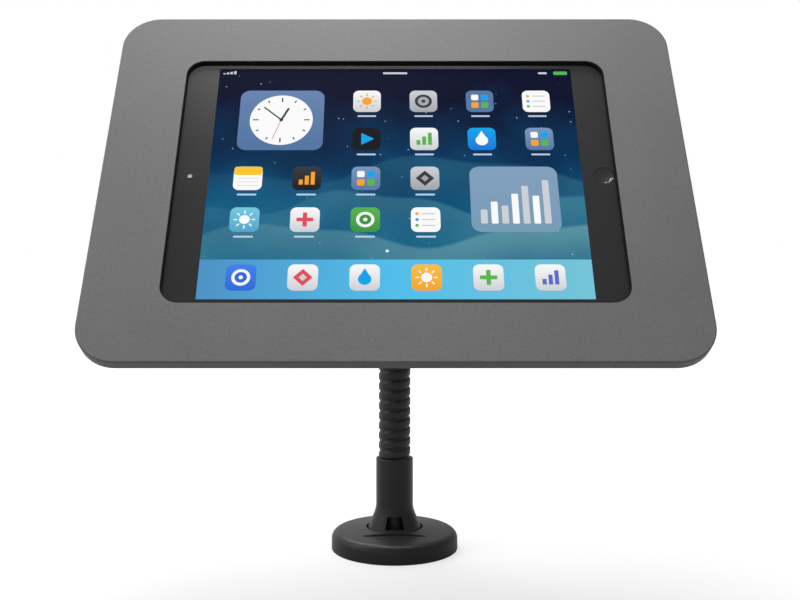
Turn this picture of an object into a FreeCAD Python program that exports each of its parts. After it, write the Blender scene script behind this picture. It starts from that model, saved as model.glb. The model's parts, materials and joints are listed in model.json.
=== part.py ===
"""Tablet security enclosure on a gooseneck desk stand, in millimetres.

The origin is the centre of the base's underside, +Z is up and the screen faces -Y.
Pieces of the head are drawn in the head's own frame: x to the right, y up along the
plate, z out of the plate, with 0 at the plate's front face.
"""
import FreeCAD, Part
import math
import os

import Sketcher

SIZES = {
    # front cover, a folded plate with a window
    "side_margin": 24.25,
    "plate_corner": 16.5,
    "plate_sheet": 2.4,
    "plate_edge_round": 0.7,
    "rim_depth": 5.3,
    "rim_wall": 2.0,
    "window_side_lap": 6.6,
    "window_end_lap": 4.85,
    "window_corner": 8.0,
    "screen_recess": 3.0,
    # black liner round the window
    "liner_wall": 0.5,
    "liner_flange": 2.2,
    "liner_front_gap": 0.3,
    "liner_glass_gap": 0.2,
    # tray behind the cover
    "tray_inset": 3.2,
    "tray_wall": 2.0,
    "tray_floor": 2.0,
    "tray_bevel": 4.0,
    "tray_cover_gap": 0.6,
    # tablet
    "tablet_width": 200.0,
    "tablet_height": 134.7,
    "tablet_depth": 7.5,
    "tablet_corner": 9.0,
    "tablet_back_bevel": 1.6,
    "tablet_raise": 0.8,
    "display_drop": 0.3,
    "shell_wall": 1.8,
    "shell_floor": 1.0,
    "glass_margin": 0.6,
    "glass_depth": 0.8,
    "bezel_side": 20.8,
    "bezel_end": 7.55,
    "display_depth": 1.4,
    "display_lap": 1.0,
    "battery_width": 96.0,
    "battery_height": 104.0,
    "battery_depth": 3.0,
    "battery_shift": 28.0,
    "board_width": 34.0,
    "board_height": 104.0,
    "board_depth": 1.0,
    "board_gap": 3.0,
    "camera_inset": 12.8,
    "camera_radius": 1.05,
    "button_inset": 11.35,
    "button_radius": 4.3,
    "button_rim": 0.3,
    "button_gap": 0.15,
    "button_depth": 1.1,
    "button_travel": 0.3,
    "button_dish": 0.4,
    "switch_size": 5.0,
    # how the tablet sits in the tray
    "pad_depth": 1.0,
    "pad_width": 170.0,
    "pad_height": 108.0,
    "bumper_reach": 16.0,
    "bumper_wall": 4.0,
    "bumper_gap": 0.15,
    # hinge of the cover
    "hinge_inset": 49.25,
    "hinge_drop": 5.0,
    "hinge_depth": 9.0,
    "hinge_knuckle": 2.2,
    "hinge_web": 1.54,
    "hinge_pin": 1.0,
    "hinge_play": 0.05,
    "hinge_arm_width": 13.0,
    "hinge_side_gap": 0.6,
    "hinge_notch_gap": 0.4,
    "hinge_lug_width": 5.0,
    "hinge_foot": 1.4,
    "hinge_foot_reach": 11.0,
    "hinge_screw_row": 6.6,
    # lock
    "lock_gap": 2.45,
    "lock_barrel": 5.0,
    "lock_plug": 3.5,
    "lock_play": 0.05,
    "lock_flange": 7.0,
    "lock_flange_depth": 1.6,
    "lock_barrel_front": 7.6,
    "lock_nut_flats": 13.0,
    "lock_nut_depth": 2.0,
    "keyway_wide": 1.0,
    "keyway_long": 4.0,
    "keyway_deep": 4.0,
    "cam_reach": 7.2,
    "cam_width": 6.0,
    "cam_depth": 1.5,
    "cam_gap": 0.2,
    "cam_eye": 1.2,
    "cam_square": 2.45,
    "cam_screw_head": 2.66,
    "catch_width": 8.0,
    "catch_sheet": 1.3,
    "catch_lip": 2.2,
    "catch_room": 0.3,
    "catch_screw_out": 6.0,
    # swivel between the head and the neck
    "flange_radius": 38.0,
    "flange_depth": 2.5,
    "flange_screw_circle": 60.0,
    "friction_depth": 1.0,
    "friction_radius": 14.2,
    "hub_gap": 0.1,
    "hub_flange_radius": 22.0,
    "hub_flange_depth": 4.0,
    "hub_radius": 11.6,
    "hub_length": 28.0,
    "hub_taper": 10.0,
    "pivot_radius": 5.0,
    "pivot_play": 0.06,
    "pivot_head": 7.6,
    "pivot_head_depth": 1.7,
    "pivot_nut_flats": 14.0,
    "pivot_nut_depth": 5.0,
    "pivot_tip": 1.0,
    "spring_washer_depth": 1.2,
    "stop_circle": 17.6,
    "stop_pin_radius": 1.5,
    "stop_slot_play": 0.25,
    "turn_each_way": 90.0,
    "stop_slot_turn": 14.0,
    # cable inlet at the back of the tray
    "grommet_room": 1.15,
    "grommet_bore": 3.4,
    "grommet_wall": 1.6,
    "grommet_lip": 1.4,
    "grommet_lip_depth": 1.0,
    # gooseneck
    "tilt": 32.0,
    "bend_radius": 55.0,
    "neck_rise": 47.6,
    "neck_reach": 43.1,
    "winding_radius": 8.1,
    "winding_bore": 6.4,
    "winding_pitch": 5.2,
    "winding_groove": 0.5,
    "winding_crown": 0.45,
    "winding_shoulder": 1.034,
    "socket_grip": 17.0,
    "hub_grip": 12.0,
    "link_outer": 5.4,
    "link_ball": 4.6,
    "link_cup_gap": 0.15,
    "link_cup_rim": 0.4,
    "link_shoulder": 2.2,
    "link_bore": 2.8,
    "ferrule_radius": 5.9,
    "ferrule_flange": 8.3,
    "ferrule_flange_depth": 3.5,
    # swivelling socket that carries the neck
    "sleeve_radius": 9.68,
    "sleeve_top": 47.75,
    "sleeve_bore": 8.4,
    "sleeve_lip": 0.5,
    "sleeve_notch": 1.5,
    "foot_radius": 14.0,
    "foot_rise": 10.6,
    "foot_slope": 22.3,
    "foot_blend": 14.0,
    "foot_wall": 2.0,
    "foot_flange_radius": 16.6,
    "foot_flange_depth": 1.9,
    "socket_cavity": 6.6,
    "window_low": 11.9,
    "window_tall": 6.6,
    "window_low_half": 4.95,
    "window_top_half": 3.7,
    "spindle_radius": 7.95,
    "spindle_bore": 5.5,
    "spindle_foot": 0.5,
    "ring_depth": 1.0,
    "ring_groove": 0.75,
    "ring_groove_low": 0.3,
    "ring_reach": 2.6,
    "ring_play": 0.05,
    "washer_gap": 0.1,
    "washer_side_gap": 0.4,
    "wave_washer_depth": 0.5,
    "set_screw_radius": 1.25,
    "set_screw_sink": 0.1,
    # bush between the socket and the base
    "bush_wall": 1.0,
    "bush_play": 0.05,
    "bush_flange": 0.8,
    # base
    "base_radius": 33.1,
    "base_shoulder": 9.0,
    "base_crown": 2.2,
    "base_round": 4.0,
    "base_wall": 2.0,
    "base_hole": 14.85,
    "base_plate_gap": 0.1,
    "base_plate_depth": 4.6,
    "base_ring_bore": 11.4,
    "base_ring_pocket": 2.6,
    "base_screw_margin": 2.55,
    "base_screw_hole": 2.25,
    "pad_ring_depth": 1.3,
    "pad_ring_width": 5.7,
    "pad_ring_gap": 0.3,
    "cover_screw_radius": 1.2,
    "cover_screw_head": 2.3,
    "cover_boss": 2.9,
    "cover_boss_gap": 0.7,
    "mark_front": 25.0,
    "mark_outer": 19.4,
    "mark_half": 16.4,
    "mark_curve": 160.0,
    "mark_floor": 10.0,
    # small screws
    "small_screw": 1.0,
    "small_screw_head": 1.9,
    "small_screw_head_depth": 0.8,
    "small_screw_reach": 1.1,
    "flange_screw": 2.0,
    "flange_screw_head": 3.6,
    "flange_screw_head_depth": 2.0,
}

NECK_JOINTS = 8
FLANGE_SCREWS = 4
BASE_SCREWS = 4
COVER_SCREWS = 3
SCREEN_CORNERS = ((-1, -1), (1, -1), (1, 1), (-1, 1))
SIDES = {"left": -1, "right": 1}

Vector = FreeCAD.Vector
ABOUT_X = Vector(1, 0, 0)
UPRIGHT = 90.0
CUT_PAST = 1.0
EDGE_TOLERANCE = 1e-5

document = FreeCAD.newDocument("tablet_enclosure")
sheet = document.addObject("Spreadsheet::Sheet", "Sizes")
for row, (name, value) in enumerate(SIZES.items(), start=1):
    sheet.set(f"A{row}", name)
    sheet.set(f"B{row}", str(value))
    sheet.setAlias(f"B{row}", name)
document.recompute()

subparts = []


class Size:
    """A length or angle: its number now, and the sheet expression that gives it."""

    def __init__(self, number, text):
        self.number = number
        self.text = text

    def __add__(self, other):
        other = as_size(other)
        return Size(self.number + other.number, f"({self.text} + {other.text})")

    def __sub__(self, other):
        other = as_size(other)
        return Size(self.number - other.number, f"({self.text} - {other.text})")

    def __mul__(self, other):
        other = as_size(other)
        return Size(self.number * other.number, f"({self.text} * {other.text})")

    def __truediv__(self, other):
        other = as_size(other)
        return Size(self.number / other.number, f"({self.text} / {other.text})")

    def __neg__(self):
        return Size(-self.number, f"(-{self.text})")

    def __rsub__(self, other):
        return as_size(other) - self


def as_size(value):
    """A bare number as a Size."""
    if isinstance(value, Size):
        return value
    return Size(float(value), f"({float(value)!r})")


def size(name):
    """The named dimension of the sheet."""
    return Size(SIZES[name], f"Sizes.{name}")


def sine(angle):
    return Size(math.sin(math.radians(angle.number)), f"sin({angle.text} * 1 deg)")


def cosine(angle):
    return Size(math.cos(math.radians(angle.number)), f"cos({angle.text} * 1 deg)")


def tangent(angle):
    return Size(math.tan(math.radians(angle.number)), f"tan({angle.text} * 1 deg)")


def root(value):
    return Size(math.sqrt(value.number), f"sqrt({value.text})")


def bind(thing, setting, value):
    """Ties one setting of an object to the sheet."""
    thing.setExpression(setting, as_size(value).text)


def part_done(thing, label):
    """Records a finished sub-part under its own name."""
    thing.Label = label
    subparts.append(thing)
    return thing


def origin_feature(body, role):
    return next(item for item in body.Origin.OriginFeatures if item.Role == role)


def new_body():
    return document.addObject("PartDesign::Body", "piece")


def new_sketch(body, role="XY_Plane", height=None):
    """A sketch on one of the body's own planes, at a height along its normal."""
    sketch = body.newObject("Sketcher::SketchObject", "outline")
    sketch.AttachmentSupport = [(origin_feature(body, role), "")]
    sketch.MapMode = "FlatFace"
    if height is not None:
        bind(sketch, "AttachmentOffset.Base.z", height)
    return sketch


def constrain(sketch, kind, *places, value=None):
    """Adds one constraint, tied to the sheet where it has a value."""
    if value is None:
        sketch.addConstraint(Sketcher.Constraint(kind, *places))
        return
    index = sketch.addConstraint(Sketcher.Constraint(kind, *places, value.number))
    bind(sketch, f"Constraints[{index}]", value)


def pin_point(sketch, edge, end, x, y):
    """Fixes one point of the sketch at x, y from its origin."""
    constrain(sketch, "DistanceX", -1, 1, edge, end, value=as_size(x))
    constrain(sketch, "DistanceY", -1, 1, edge, end, value=as_size(y))


def arc_between(start, end, radius):
    """An arc edge and which of its ends comes first; a negative radius turns clockwise."""
    chord = end - start
    middle = (start + end) / 2
    across = Vector(-chord.y, chord.x, 0).normalize()
    reach = math.sqrt(max(radius * radius - chord.Length * chord.Length / 4, 0))
    centre = middle + across * math.copysign(reach, radius)
    first, second = (start, end) if radius > 0 else (end, start)
    angles = [math.atan2(point.y - centre.y, point.x - centre.x) for point in (first, second)]
    circle = Part.Circle(centre, Vector(0, 0, 1), abs(radius))
    return Part.ArcOfCircle(circle, *angles), (1, 2) if radius > 0 else (2, 1)


def outline(sketch, corners):
    """A closed outline. Each corner is (x, y), and may add {"round": r} to blend the
    corner, or {"arc": r} to make the edge that leaves it an arc."""
    places = [Vector(as_size(item[0]).number, as_size(item[1]).number, 0) for item in corners]
    extras = [item[2] if len(item) > 2 else {} for item in corners]
    count = len(corners)
    starts, ends = list(places), list(places)
    for index, extra in enumerate(extras):
        if "round" in extra:
            before = (places[index - 1] - places[index]).normalize()
            after = (places[(index + 1) % count] - places[index]).normalize()
            half = math.acos(max(-1, min(1, before * after))) / 2
            cut = extra["round"].number / math.tan(half)
            ends[index] = places[index] + before * cut
            starts[index] = places[index] + after * cut
    edges = []
    for index, extra in enumerate(extras):
        here, there = starts[index], ends[(index + 1) % count]
        if "arc" in extra:
            shape, order = arc_between(here, there, extra["arc"].number)
            edges.append((sketch.addGeometry(shape, False), *order))
            constrain(sketch, "Radius", edges[-1][0], value=extra["arc"] if
                      extra["arc"].number > 0 else -extra["arc"])
        else:
            edges.append((sketch.addGeometry(Part.LineSegment(here, there), False), 1, 2))
    for index, extra in enumerate(extras):
        arriving, leaving = edges[index - 1], edges[index]
        if "round" not in extra:
            constrain(sketch, "Coincident", arriving[0], arriving[2], leaving[0], leaving[1])
            pin_point(sketch, leaving[0], leaving[1], *corners[index][:2])
            continue
        turn = (ends[index] - places[index]).cross(starts[index] - places[index]).z
        radius = extra["round"]
        blend, order = arc_between(ends[index], starts[index],
                                   math.copysign(radius.number, -turn))
        blend = sketch.addGeometry(blend, False)
        corner = sketch.addGeometry(Part.Point(places[index]), True)
        constrain(sketch, "Tangent", arriving[0], arriving[2], blend, order[0])
        constrain(sketch, "Tangent", blend, order[1], leaving[0], leaving[1])
        constrain(sketch, "Radius", blend, value=radius)
        constrain(sketch, "PointOnObject", corner, 1, arriving[0])
        constrain(sketch, "PointOnObject", corner, 1, leaving[0])
        pin_point(sketch, corner, 1, *corners[index][:2])
    return sketch


def rectangle(sketch, width, height, radius, x=0, y=0):
    """A rectangle with rounded corners about x, y."""
    x, y = as_size(x), as_size(y)
    blend = {"round": radius}
    return outline(sketch, [(x - width / 2, y - height / 2, blend), (x + width / 2, y - height / 2, blend),
                            (x + width / 2, y + height / 2, blend), (x - width / 2, y + height / 2, blend)])


def block_outline(sketch, left, right, low, high):
    """A rectangle with square corners between four limits."""
    return outline(sketch, [(left, low), (right, low), (right, high), (left, high)])


def circle(sketch, radius, x=0, y=0):
    x, y = as_size(x), as_size(y)
    shape = Part.Circle(Vector(x.number, y.number, 0), Vector(0, 0, 1), radius.number)
    edge = sketch.addGeometry(shape, False)
    constrain(sketch, "Radius", edge, value=radius)
    pin_point(sketch, edge, 3, x, y)
    return sketch


def pad(body, sketch, length):
    """Material from the sketch, along its normal."""
    feature = body.newObject("PartDesign::Pad", "pad")
    feature.Profile = sketch
    bind(feature, "Length", length)
    sketch.Visibility = False
    return feature


def pocket(body, sketch, length, upwards=False):
    """A cut from the sketch, against its normal or upwards along it."""
    feature = body.newObject("PartDesign::Pocket", "pocket")
    feature.Profile = sketch
    bind(feature, "Length", length)
    feature.Reversed = upwards
    return feature


def through(body, sketch):
    """A cut both ways from the sketch, right through the body."""
    feature = body.newObject("PartDesign::Pocket", "slot")
    feature.Profile = sketch
    feature.Type = "ThroughAll"
    feature.SideType = "Symmetric"
    return feature


def revolve(body, corners):
    """A full turn of a (radius, height) profile about the body's upright axis."""
    feature = body.newObject("PartDesign::Revolution", "turned")
    feature.Profile = outline(new_sketch(body, "XZ_Plane"), corners)
    feature.ReferenceAxis = (origin_feature(body, "Z_Axis"), [""])
    feature.Angle = 360
    return feature


def groove(body, corners, sweep):
    """A cut turned about the upright axis, half of its sweep each side of +Y."""
    feature = body.newObject("PartDesign::Groove", "turned_cut")
    feature.Profile = outline(new_sketch(body, "YZ_Plane"), corners)
    feature.ReferenceAxis = (origin_feature(body, "Z_Axis"), [""])
    feature.Midplane = True
    bind(feature, "Angle", sweep)
    return feature


def flat_at(edge, height):
    """Whether an edge lies flat at a height."""
    box = edge.BoundBox
    return abs(box.ZMax - height) < EDGE_TOLERANCE and abs(box.ZMin - height) < EDGE_TOLERANCE


def dress_edges(body, kind, setting, value, wanted):
    """A fillet or chamfer on the body's edges that the test picks."""
    document.recompute()
    base = body.Tip
    edges = [f"Edge{index}" for index, edge in enumerate(body.Shape.Edges, start=1) if wanted(edge)]
    feature = body.newObject(f"PartDesign::{kind}", "dressed_edge")
    feature.Base = (base, edges)
    bind(feature, setting, value)


def plain(kind, x=0, y=0, low=0, **settings):
    """A primitive solid with its settings tied to the sheet."""
    thing = document.addObject(f"Part::{kind}", kind.lower())
    for setting, value in settings.items():
        bind(thing, setting, value)
    for axis, value in zip("xyz", (x, y, low)):
        bind(thing, f"Placement.Base.{axis}", value)
    return thing


def rod(radius, low, high, x=0, y=0):
    """An upright cylinder between two heights."""
    return plain("Cylinder", x, y, low, Radius=radius, Height=as_size(high) - low)


def block(left, right, front, back, low, high):
    return plain("Box", left, front, low, Length=as_size(right) - left,
                 Width=as_size(back) - front, Height=as_size(high) - low)


def cut(base, *tools):
    for tool in tools:
        result = document.addObject("Part::Cut", "cut")
        result.Base, result.Tool = base, tool
        base = result
    return base


def fuse(*things):
    result = document.addObject("Part::MultiFuse", "joined")
    result.Shapes = list(things)
    return result


def group(*things):
    """Like pieces that share one node."""
    result = document.addObject("Part::Compound", "group")
    result.Links = list(things)
    return result


def tube(outer, inner, low, high, x=0, y=0):
    return cut(rod(outer, low, high, x, y), rod(inner, low, high, x, y))


def screw(radius, head_radius, seat, head_end, tip, x=0, y=0):
    """A screw along z whose head lies between seat and head_end."""
    ends = sorted((seat, head_end), key=lambda item: as_size(item).number)
    shank = sorted((seat, tip), key=lambda item: as_size(item).number)
    return fuse(rod(head_radius, *ends, x, y), rod(radius, *shank, x, y))


def nut(flats, bore, low, high, x=0, y=0):
    """A hexagon nut with flats facing up and down."""
    prism = plain("Prism", x, y, low, Circumradius=flats / math.sqrt(3), Height=high - low)
    prism.Polygon = 6
    return cut(prism, rod(bore, low, high, x, y))


def bored_across(thing, radius, reach, angle, height):
    """A radial hole from the axis out to reach, at an angle about the upright axis."""
    return cut(thing, radial_rod(radius, 0, reach, angle, height))


def radial_rod(radius, start, end, angle, height):
    """A cylinder that points away from the upright axis."""
    start, end = as_size(start), as_size(end)
    thing = document.addObject("Part::Cylinder", "radial")
    bind(thing, "Radius", radius)
    bind(thing, "Height", end - start)
    thing.Placement = FreeCAD.Placement(
        Vector(0, 0, 0), FreeCAD.Rotation(Vector(0, 0, 1), angle) * FreeCAD.Rotation(Vector(0, 1, 0), 90))
    bind(thing, "Placement.Base.x", start * math.cos(math.radians(angle)))
    bind(thing, "Placement.Base.y", start * math.sin(math.radians(angle)))
    bind(thing, "Placement.Base.z", height)
    return thing


def spread(count, circle_diameter, first_angle):
    """Places evenly spaced on a circle."""
    for index in range(count):
        angle = math.radians(first_angle + 360 * index / count)
        yield circle_diameter / 2 * math.cos(angle), circle_diameter / 2 * math.sin(angle)


# The plate and its window follow from the tablet, and the lock stands below it
tablet_low = size("tablet_raise") - size("tablet_height") / 2
lock_y = tablet_low - size("lock_gap") - size("lock_barrel")
catch_y = lock_y - size("cam_reach") - size("cam_gap") * 2
tray_low = catch_y - size("catch_sheet") - size("catch_room") - size("tray_wall")
plate_width = size("tablet_width") + size("side_margin") * 2
plate_height = (size("tray_inset") - tray_low) * 2
window_width = size("tablet_width") - size("window_side_lap") * 2
window_height = size("tablet_height") - size("window_end_lap") * 2
display_width = size("tablet_width") - size("bezel_side") * 2
display_height = size("tablet_height") - size("bezel_end") * 2
button_x = size("tablet_width") / 2 - size("button_inset")
camera_x = size("camera_inset") - size("tablet_width") / 2

# Heights in the head's frame, from the front face backwards
glass_front = -size("screen_recess")
tablet_back = glass_front - size("tablet_depth")
floor_front = tablet_back - size("pad_depth")
floor_back = floor_front - size("tray_floor")
flange_back = floor_back - size("flange_depth")
friction_back = flange_back - size("friction_depth")
hub_front = friction_back - size("hub_gap")
hub_seat = hub_front - size("hub_flange_depth")
hub_back = hub_front - size("hub_length")
sheet_back = -size("plate_sheet")
tray_front = sheet_back - size("tray_cover_gap")

# The neck's path: up, round the bend towards the viewer, then straight to the hub
turn = UPRIGHT - size("tilt")
bend_length = size("bend_radius") * turn * (math.pi / 180)
bend_start = size("sleeve_top") + size("neck_rise")
bend_end_y = -(size("bend_radius") * (1 - cosine(turn)))
bend_end_z = bend_start + size("bend_radius") * sine(turn)
neck_end = size("neck_rise") + bend_length + size("neck_reach")
joint_step = neck_end / NECK_JOINTS


def neck_point(distance):
    """Where the neck's centreline is, as (y, z), and how far it leans from upright."""
    past_rise = distance - size("neck_rise")
    past_bend = past_rise - bend_length
    if past_rise.number <= 0:
        return as_size(0), size("sleeve_top") + distance, as_size(0)
    if past_bend.number <= 0:
        lean = past_rise / size("bend_radius") * (180 / math.pi)
        return (-(size("bend_radius") * (1 - cosine(lean))),
                bend_start + size("bend_radius") * sine(lean), lean)
    return bend_end_y - past_bend * sine(turn), bend_end_z + past_bend * cosine(turn), turn


hub_back_y, hub_back_z, _ = neck_point(neck_end)
head_y = hub_back_y + hub_back * sine(turn)
head_z = hub_back_z - hub_back * cosine(turn)


def leaning(thing, y, z, lean):
    """Places a piece at y, z, turned about X by its lean from upright."""
    thing.Placement = FreeCAD.Placement(Vector(0, y.number, z.number),
                                        FreeCAD.Rotation(ABOUT_X, lean.number))
    bind(thing, "Placement.Base.y", y)
    bind(thing, "Placement.Base.z", z)
    thing.setExpression("Placement.Rotation.Angle", f"{lean.text} * 1 deg")
    return thing


def on_head(thing, label):
    """Finishes a piece that was drawn in the head's frame. A primitive keeps its own
    place inside a group, and the group takes the head's."""
    if thing.TypeId in ("Part::Box", "Part::Cylinder"):
        thing = group(thing)
    return part_done(leaning(thing, head_y, head_z, turn), label)


def front_cover():
    """A sheet metal face with a folded rim and a rounded window."""
    body = new_body()
    pad(body, rectangle(new_sketch(body, height=-size("rim_depth")), plate_width, plate_height,
                        size("plate_corner")), size("rim_depth"))
    inner = rectangle(new_sketch(body, height=-size("rim_depth")), plate_width - size("rim_wall") * 2,
                      plate_height - size("rim_wall") * 2, size("plate_corner") - size("rim_wall"))
    pocket(body, inner, size("rim_depth") - size("plate_sheet"), upwards=True)
    window = rectangle(new_sketch(body), window_width, window_height, size("window_corner"))
    through(body, window)
    for x, y in list(catch_screw_places()) + list(hinge_screw_places()):
        hole = circle(new_sketch(body, height=sheet_back), size("small_screw"), x, y)
        pocket(body, hole, size("small_screw_reach"), upwards=True)
    dress_edges(body, "Fillet", "Radius", size("plate_edge_round"), lambda edge: flat_at(edge, 0) and max(
        abs(edge.CenterOfMass.x) - window_width.number / 2,
        abs(edge.CenterOfMass.y) - window_height.number / 2) > EDGE_TOLERANCE)
    return on_head(body, "front_cover")


def window_liner():
    """The black frame that lines the window's edge and backs it with a flange."""
    body = new_body()
    wall = size("liner_wall")
    back = glass_front + size("liner_glass_gap")
    pad(body, rectangle(new_sketch(body, height=back), window_width, window_height, size("window_corner")),
        -size("liner_front_gap") - back)
    flange = rectangle(new_sketch(body, height=back), window_width + size("liner_flange") * 2,
                       window_height + size("liner_flange") * 2, size("window_corner") + size("liner_flange"))
    pad(body, flange, sheet_back - back)
    hole = rectangle(new_sketch(body), window_width - wall * 2, window_height - wall * 2,
                     size("window_corner") - wall)
    through(body, hole)
    return on_head(body, "window_liner")


tray_width = plate_width - size("tray_inset") * 2
tray_height = plate_height - size("tray_inset") * 2
tray_corner = size("plate_corner") - size("tray_inset")
tray_brace = size("tray_bevel") - size("tray_floor")
grommet_lip = size("grommet_bore") + size("grommet_wall") + size("grommet_lip")
grommet_x = tray_width / 2 - size("tray_wall") - tray_brace - size("grommet_room") - grommet_lip
hinge_x = plate_width / 2 - size("hinge_inset")
hinge_y = plate_height / 2 - size("hinge_drop")
hinge_z = -size("hinge_depth")
hinge_half = size("hinge_arm_width") / 2 + size("hinge_side_gap")
lug_end = hinge_half + size("hinge_lug_width")


def rear_tray():
    """The pan that the tablet lies in, with hinge lugs and a bevelled back."""
    body = new_body()
    pad(body, rectangle(new_sketch(body, height=floor_back), tray_width, tray_height, tray_corner),
        tray_front - floor_back)
    dress_edges(body, "Chamfer", "Size", size("tray_bevel"), lambda edge: flat_at(edge, floor_back.number))
    hollow = rectangle(new_sketch(body, height=floor_front), tray_width - size("tray_wall") * 2,
                       tray_height - size("tray_wall") * 2, tray_corner - size("tray_wall"))
    pocket(body, hollow, tray_front - floor_front, upwards=True)
    brace = new_sketch(body, height=floor_front)
    rectangle(brace, tray_width - size("tray_wall") * 2, tray_height - size("tray_wall") * 2,
              tray_corner - size("tray_wall"))
    rectangle(brace, tray_width - size("tray_wall") * 2 - tray_brace * 2,
              tray_height - size("tray_wall") * 2 - tray_brace * 2,
              tray_corner - size("tray_wall") - tray_brace)
    pad(body, brace, tray_brace)
    for side in SIDES.values():
        middle = hinge_x * side
        lugs = new_sketch(body, height=floor_front)
        block_outline(lugs, middle - lug_end, middle + lug_end, hinge_y - size("hinge_knuckle") * 2,
                      tray_height / 2 - size("tray_wall"))
        pad(body, lugs, hinge_z + size("hinge_knuckle") - floor_front)
        notch = new_sketch(body, height=floor_back)
        block_outline(notch, middle - hinge_half, middle + hinge_half,
                      hinge_y - size("hinge_knuckle") - size("hinge_notch_gap"), tray_height / 2 + CUT_PAST)
        pocket(body, notch, tray_front - floor_back, upwards=True)
        pin = circle(new_sketch(body, "YZ_Plane", middle - lug_end), size("hinge_pin"), hinge_y, hinge_z)
        pocket(body, pin, lug_end * 2, upwards=True)
    for radius, x, y in ((size("lock_barrel"), 0, lock_y), (size("pivot_head"), 0, 0),
                         (size("grommet_bore") + size("grommet_wall"), grommet_x, 0)):
        through_hole = circle(new_sketch(body, height=floor_back), radius, x, y)
        pocket(body, through_hole, size("tray_floor") * 2, upwards=True)
    for x, y in spread(FLANGE_SCREWS, size("flange_screw_circle"), 45):
        pocket(body, circle(new_sketch(body, height=floor_back), size("flange_screw"), x, y),
               size("tray_floor") * 2, upwards=True)
    return on_head(body, "rear_tray")


def hinge_screw_places():
    """Two screws in the foot of each hinge arm."""
    for side in SIDES.values():
        for offset in (-1, 1):
            yield (hinge_x * side + size("hinge_arm_width") / 3 * offset,
                   hinge_y - size("hinge_screw_row"))


def hinge_arm(side, name):
    """A bracket on the cover's inside whose knuckle turns on the hinge pin."""
    middle = hinge_x * side
    half = size("hinge_arm_width") / 2
    body = new_body()
    web_low, web_high = hinge_y - size("hinge_web"), hinge_y + size("hinge_web")
    foot_end = hinge_y - size("hinge_foot_reach")
    foot_back = sheet_back - size("hinge_foot")
    profile = outline(new_sketch(body, "YZ_Plane", middle - half), [
        (foot_end, sheet_back), (foot_end, foot_back), (web_low, foot_back), (web_low, hinge_z),
        (web_high, hinge_z), (web_high, sheet_back)])
    pad(body, profile, half * 2)
    pad(body, circle(new_sketch(body, "YZ_Plane", middle - half), size("hinge_knuckle"), hinge_y, hinge_z),
        half * 2)
    bore = circle(new_sketch(body, "YZ_Plane", middle - half), size("hinge_pin") + size("hinge_play"),
                  hinge_y, hinge_z)
    pocket(body, bore, half * 2, upwards=True)
    for x, y in hinge_screw_places():
        if x.number * side > 0:
            hole = circle(new_sketch(body, height=foot_back), size("small_screw"), x, y)
            pocket(body, hole, size("hinge_foot"), upwards=True)
    return on_head(body, f"hinge_arm_{name}")


def hinge_pin(side, name):
    """A steel pin through the tray's lugs and the arm's knuckle."""
    body = new_body()
    middle = hinge_x * side
    pad(body, circle(new_sketch(body, "YZ_Plane", middle - lug_end), size("hinge_pin"), hinge_y, hinge_z),
        lug_end * 2)
    return on_head(body, f"hinge_pin_{name}")


def inside_screws(label, places, seat):
    """Small screws driven into the cover's face from inside."""
    head_end = seat - size("small_screw_head_depth")
    screws = [screw(size("small_screw"), size("small_screw_head"), seat, head_end,
                    sheet_back + size("small_screw_reach"), x, y) for x, y in places]
    return on_head(group(*screws), label)


def catch_screw_places():
    """Two screws in the base of the catch."""
    for offset in (-1, 1):
        yield size("catch_screw_out") * offset, lock_y - size("small_screw_head")


def cover_catch():
    """A hooked bracket on the cover that the lock's cam holds back."""
    body = new_body()
    half = size("catch_width")
    lip_back = -size("lock_barrel_front") - size("catch_sheet")
    lip_front = -size("lock_barrel_front")
    web_out = catch_y - size("catch_sheet")
    foot_back = sheet_back - size("catch_sheet")
    foot_end = lock_y + size("cam_gap")
    profile = outline(new_sketch(body, "YZ_Plane", -half / 2), [
        (web_out, sheet_back), (web_out, lip_back), (catch_y + size("catch_lip"), lip_back),
        (catch_y + size("catch_lip"), lip_front), (catch_y, lip_front),
        (catch_y, foot_back), (foot_end, foot_back), (foot_end, sheet_back)])
    pad(body, profile, half)
    ears = new_sketch(body, height=foot_back)
    block_outline(ears, -half, half, lock_y - size("small_screw_head") * 2, foot_end)
    pad(body, ears, size("catch_sheet"))
    for x, y in catch_screw_places():
        hole = circle(new_sketch(body, height=sheet_back - size("catch_sheet")), size("small_screw"), x, y)
        pocket(body, hole, size("catch_sheet"), upwards=True)
    return on_head(body, "cover_catch")


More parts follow.
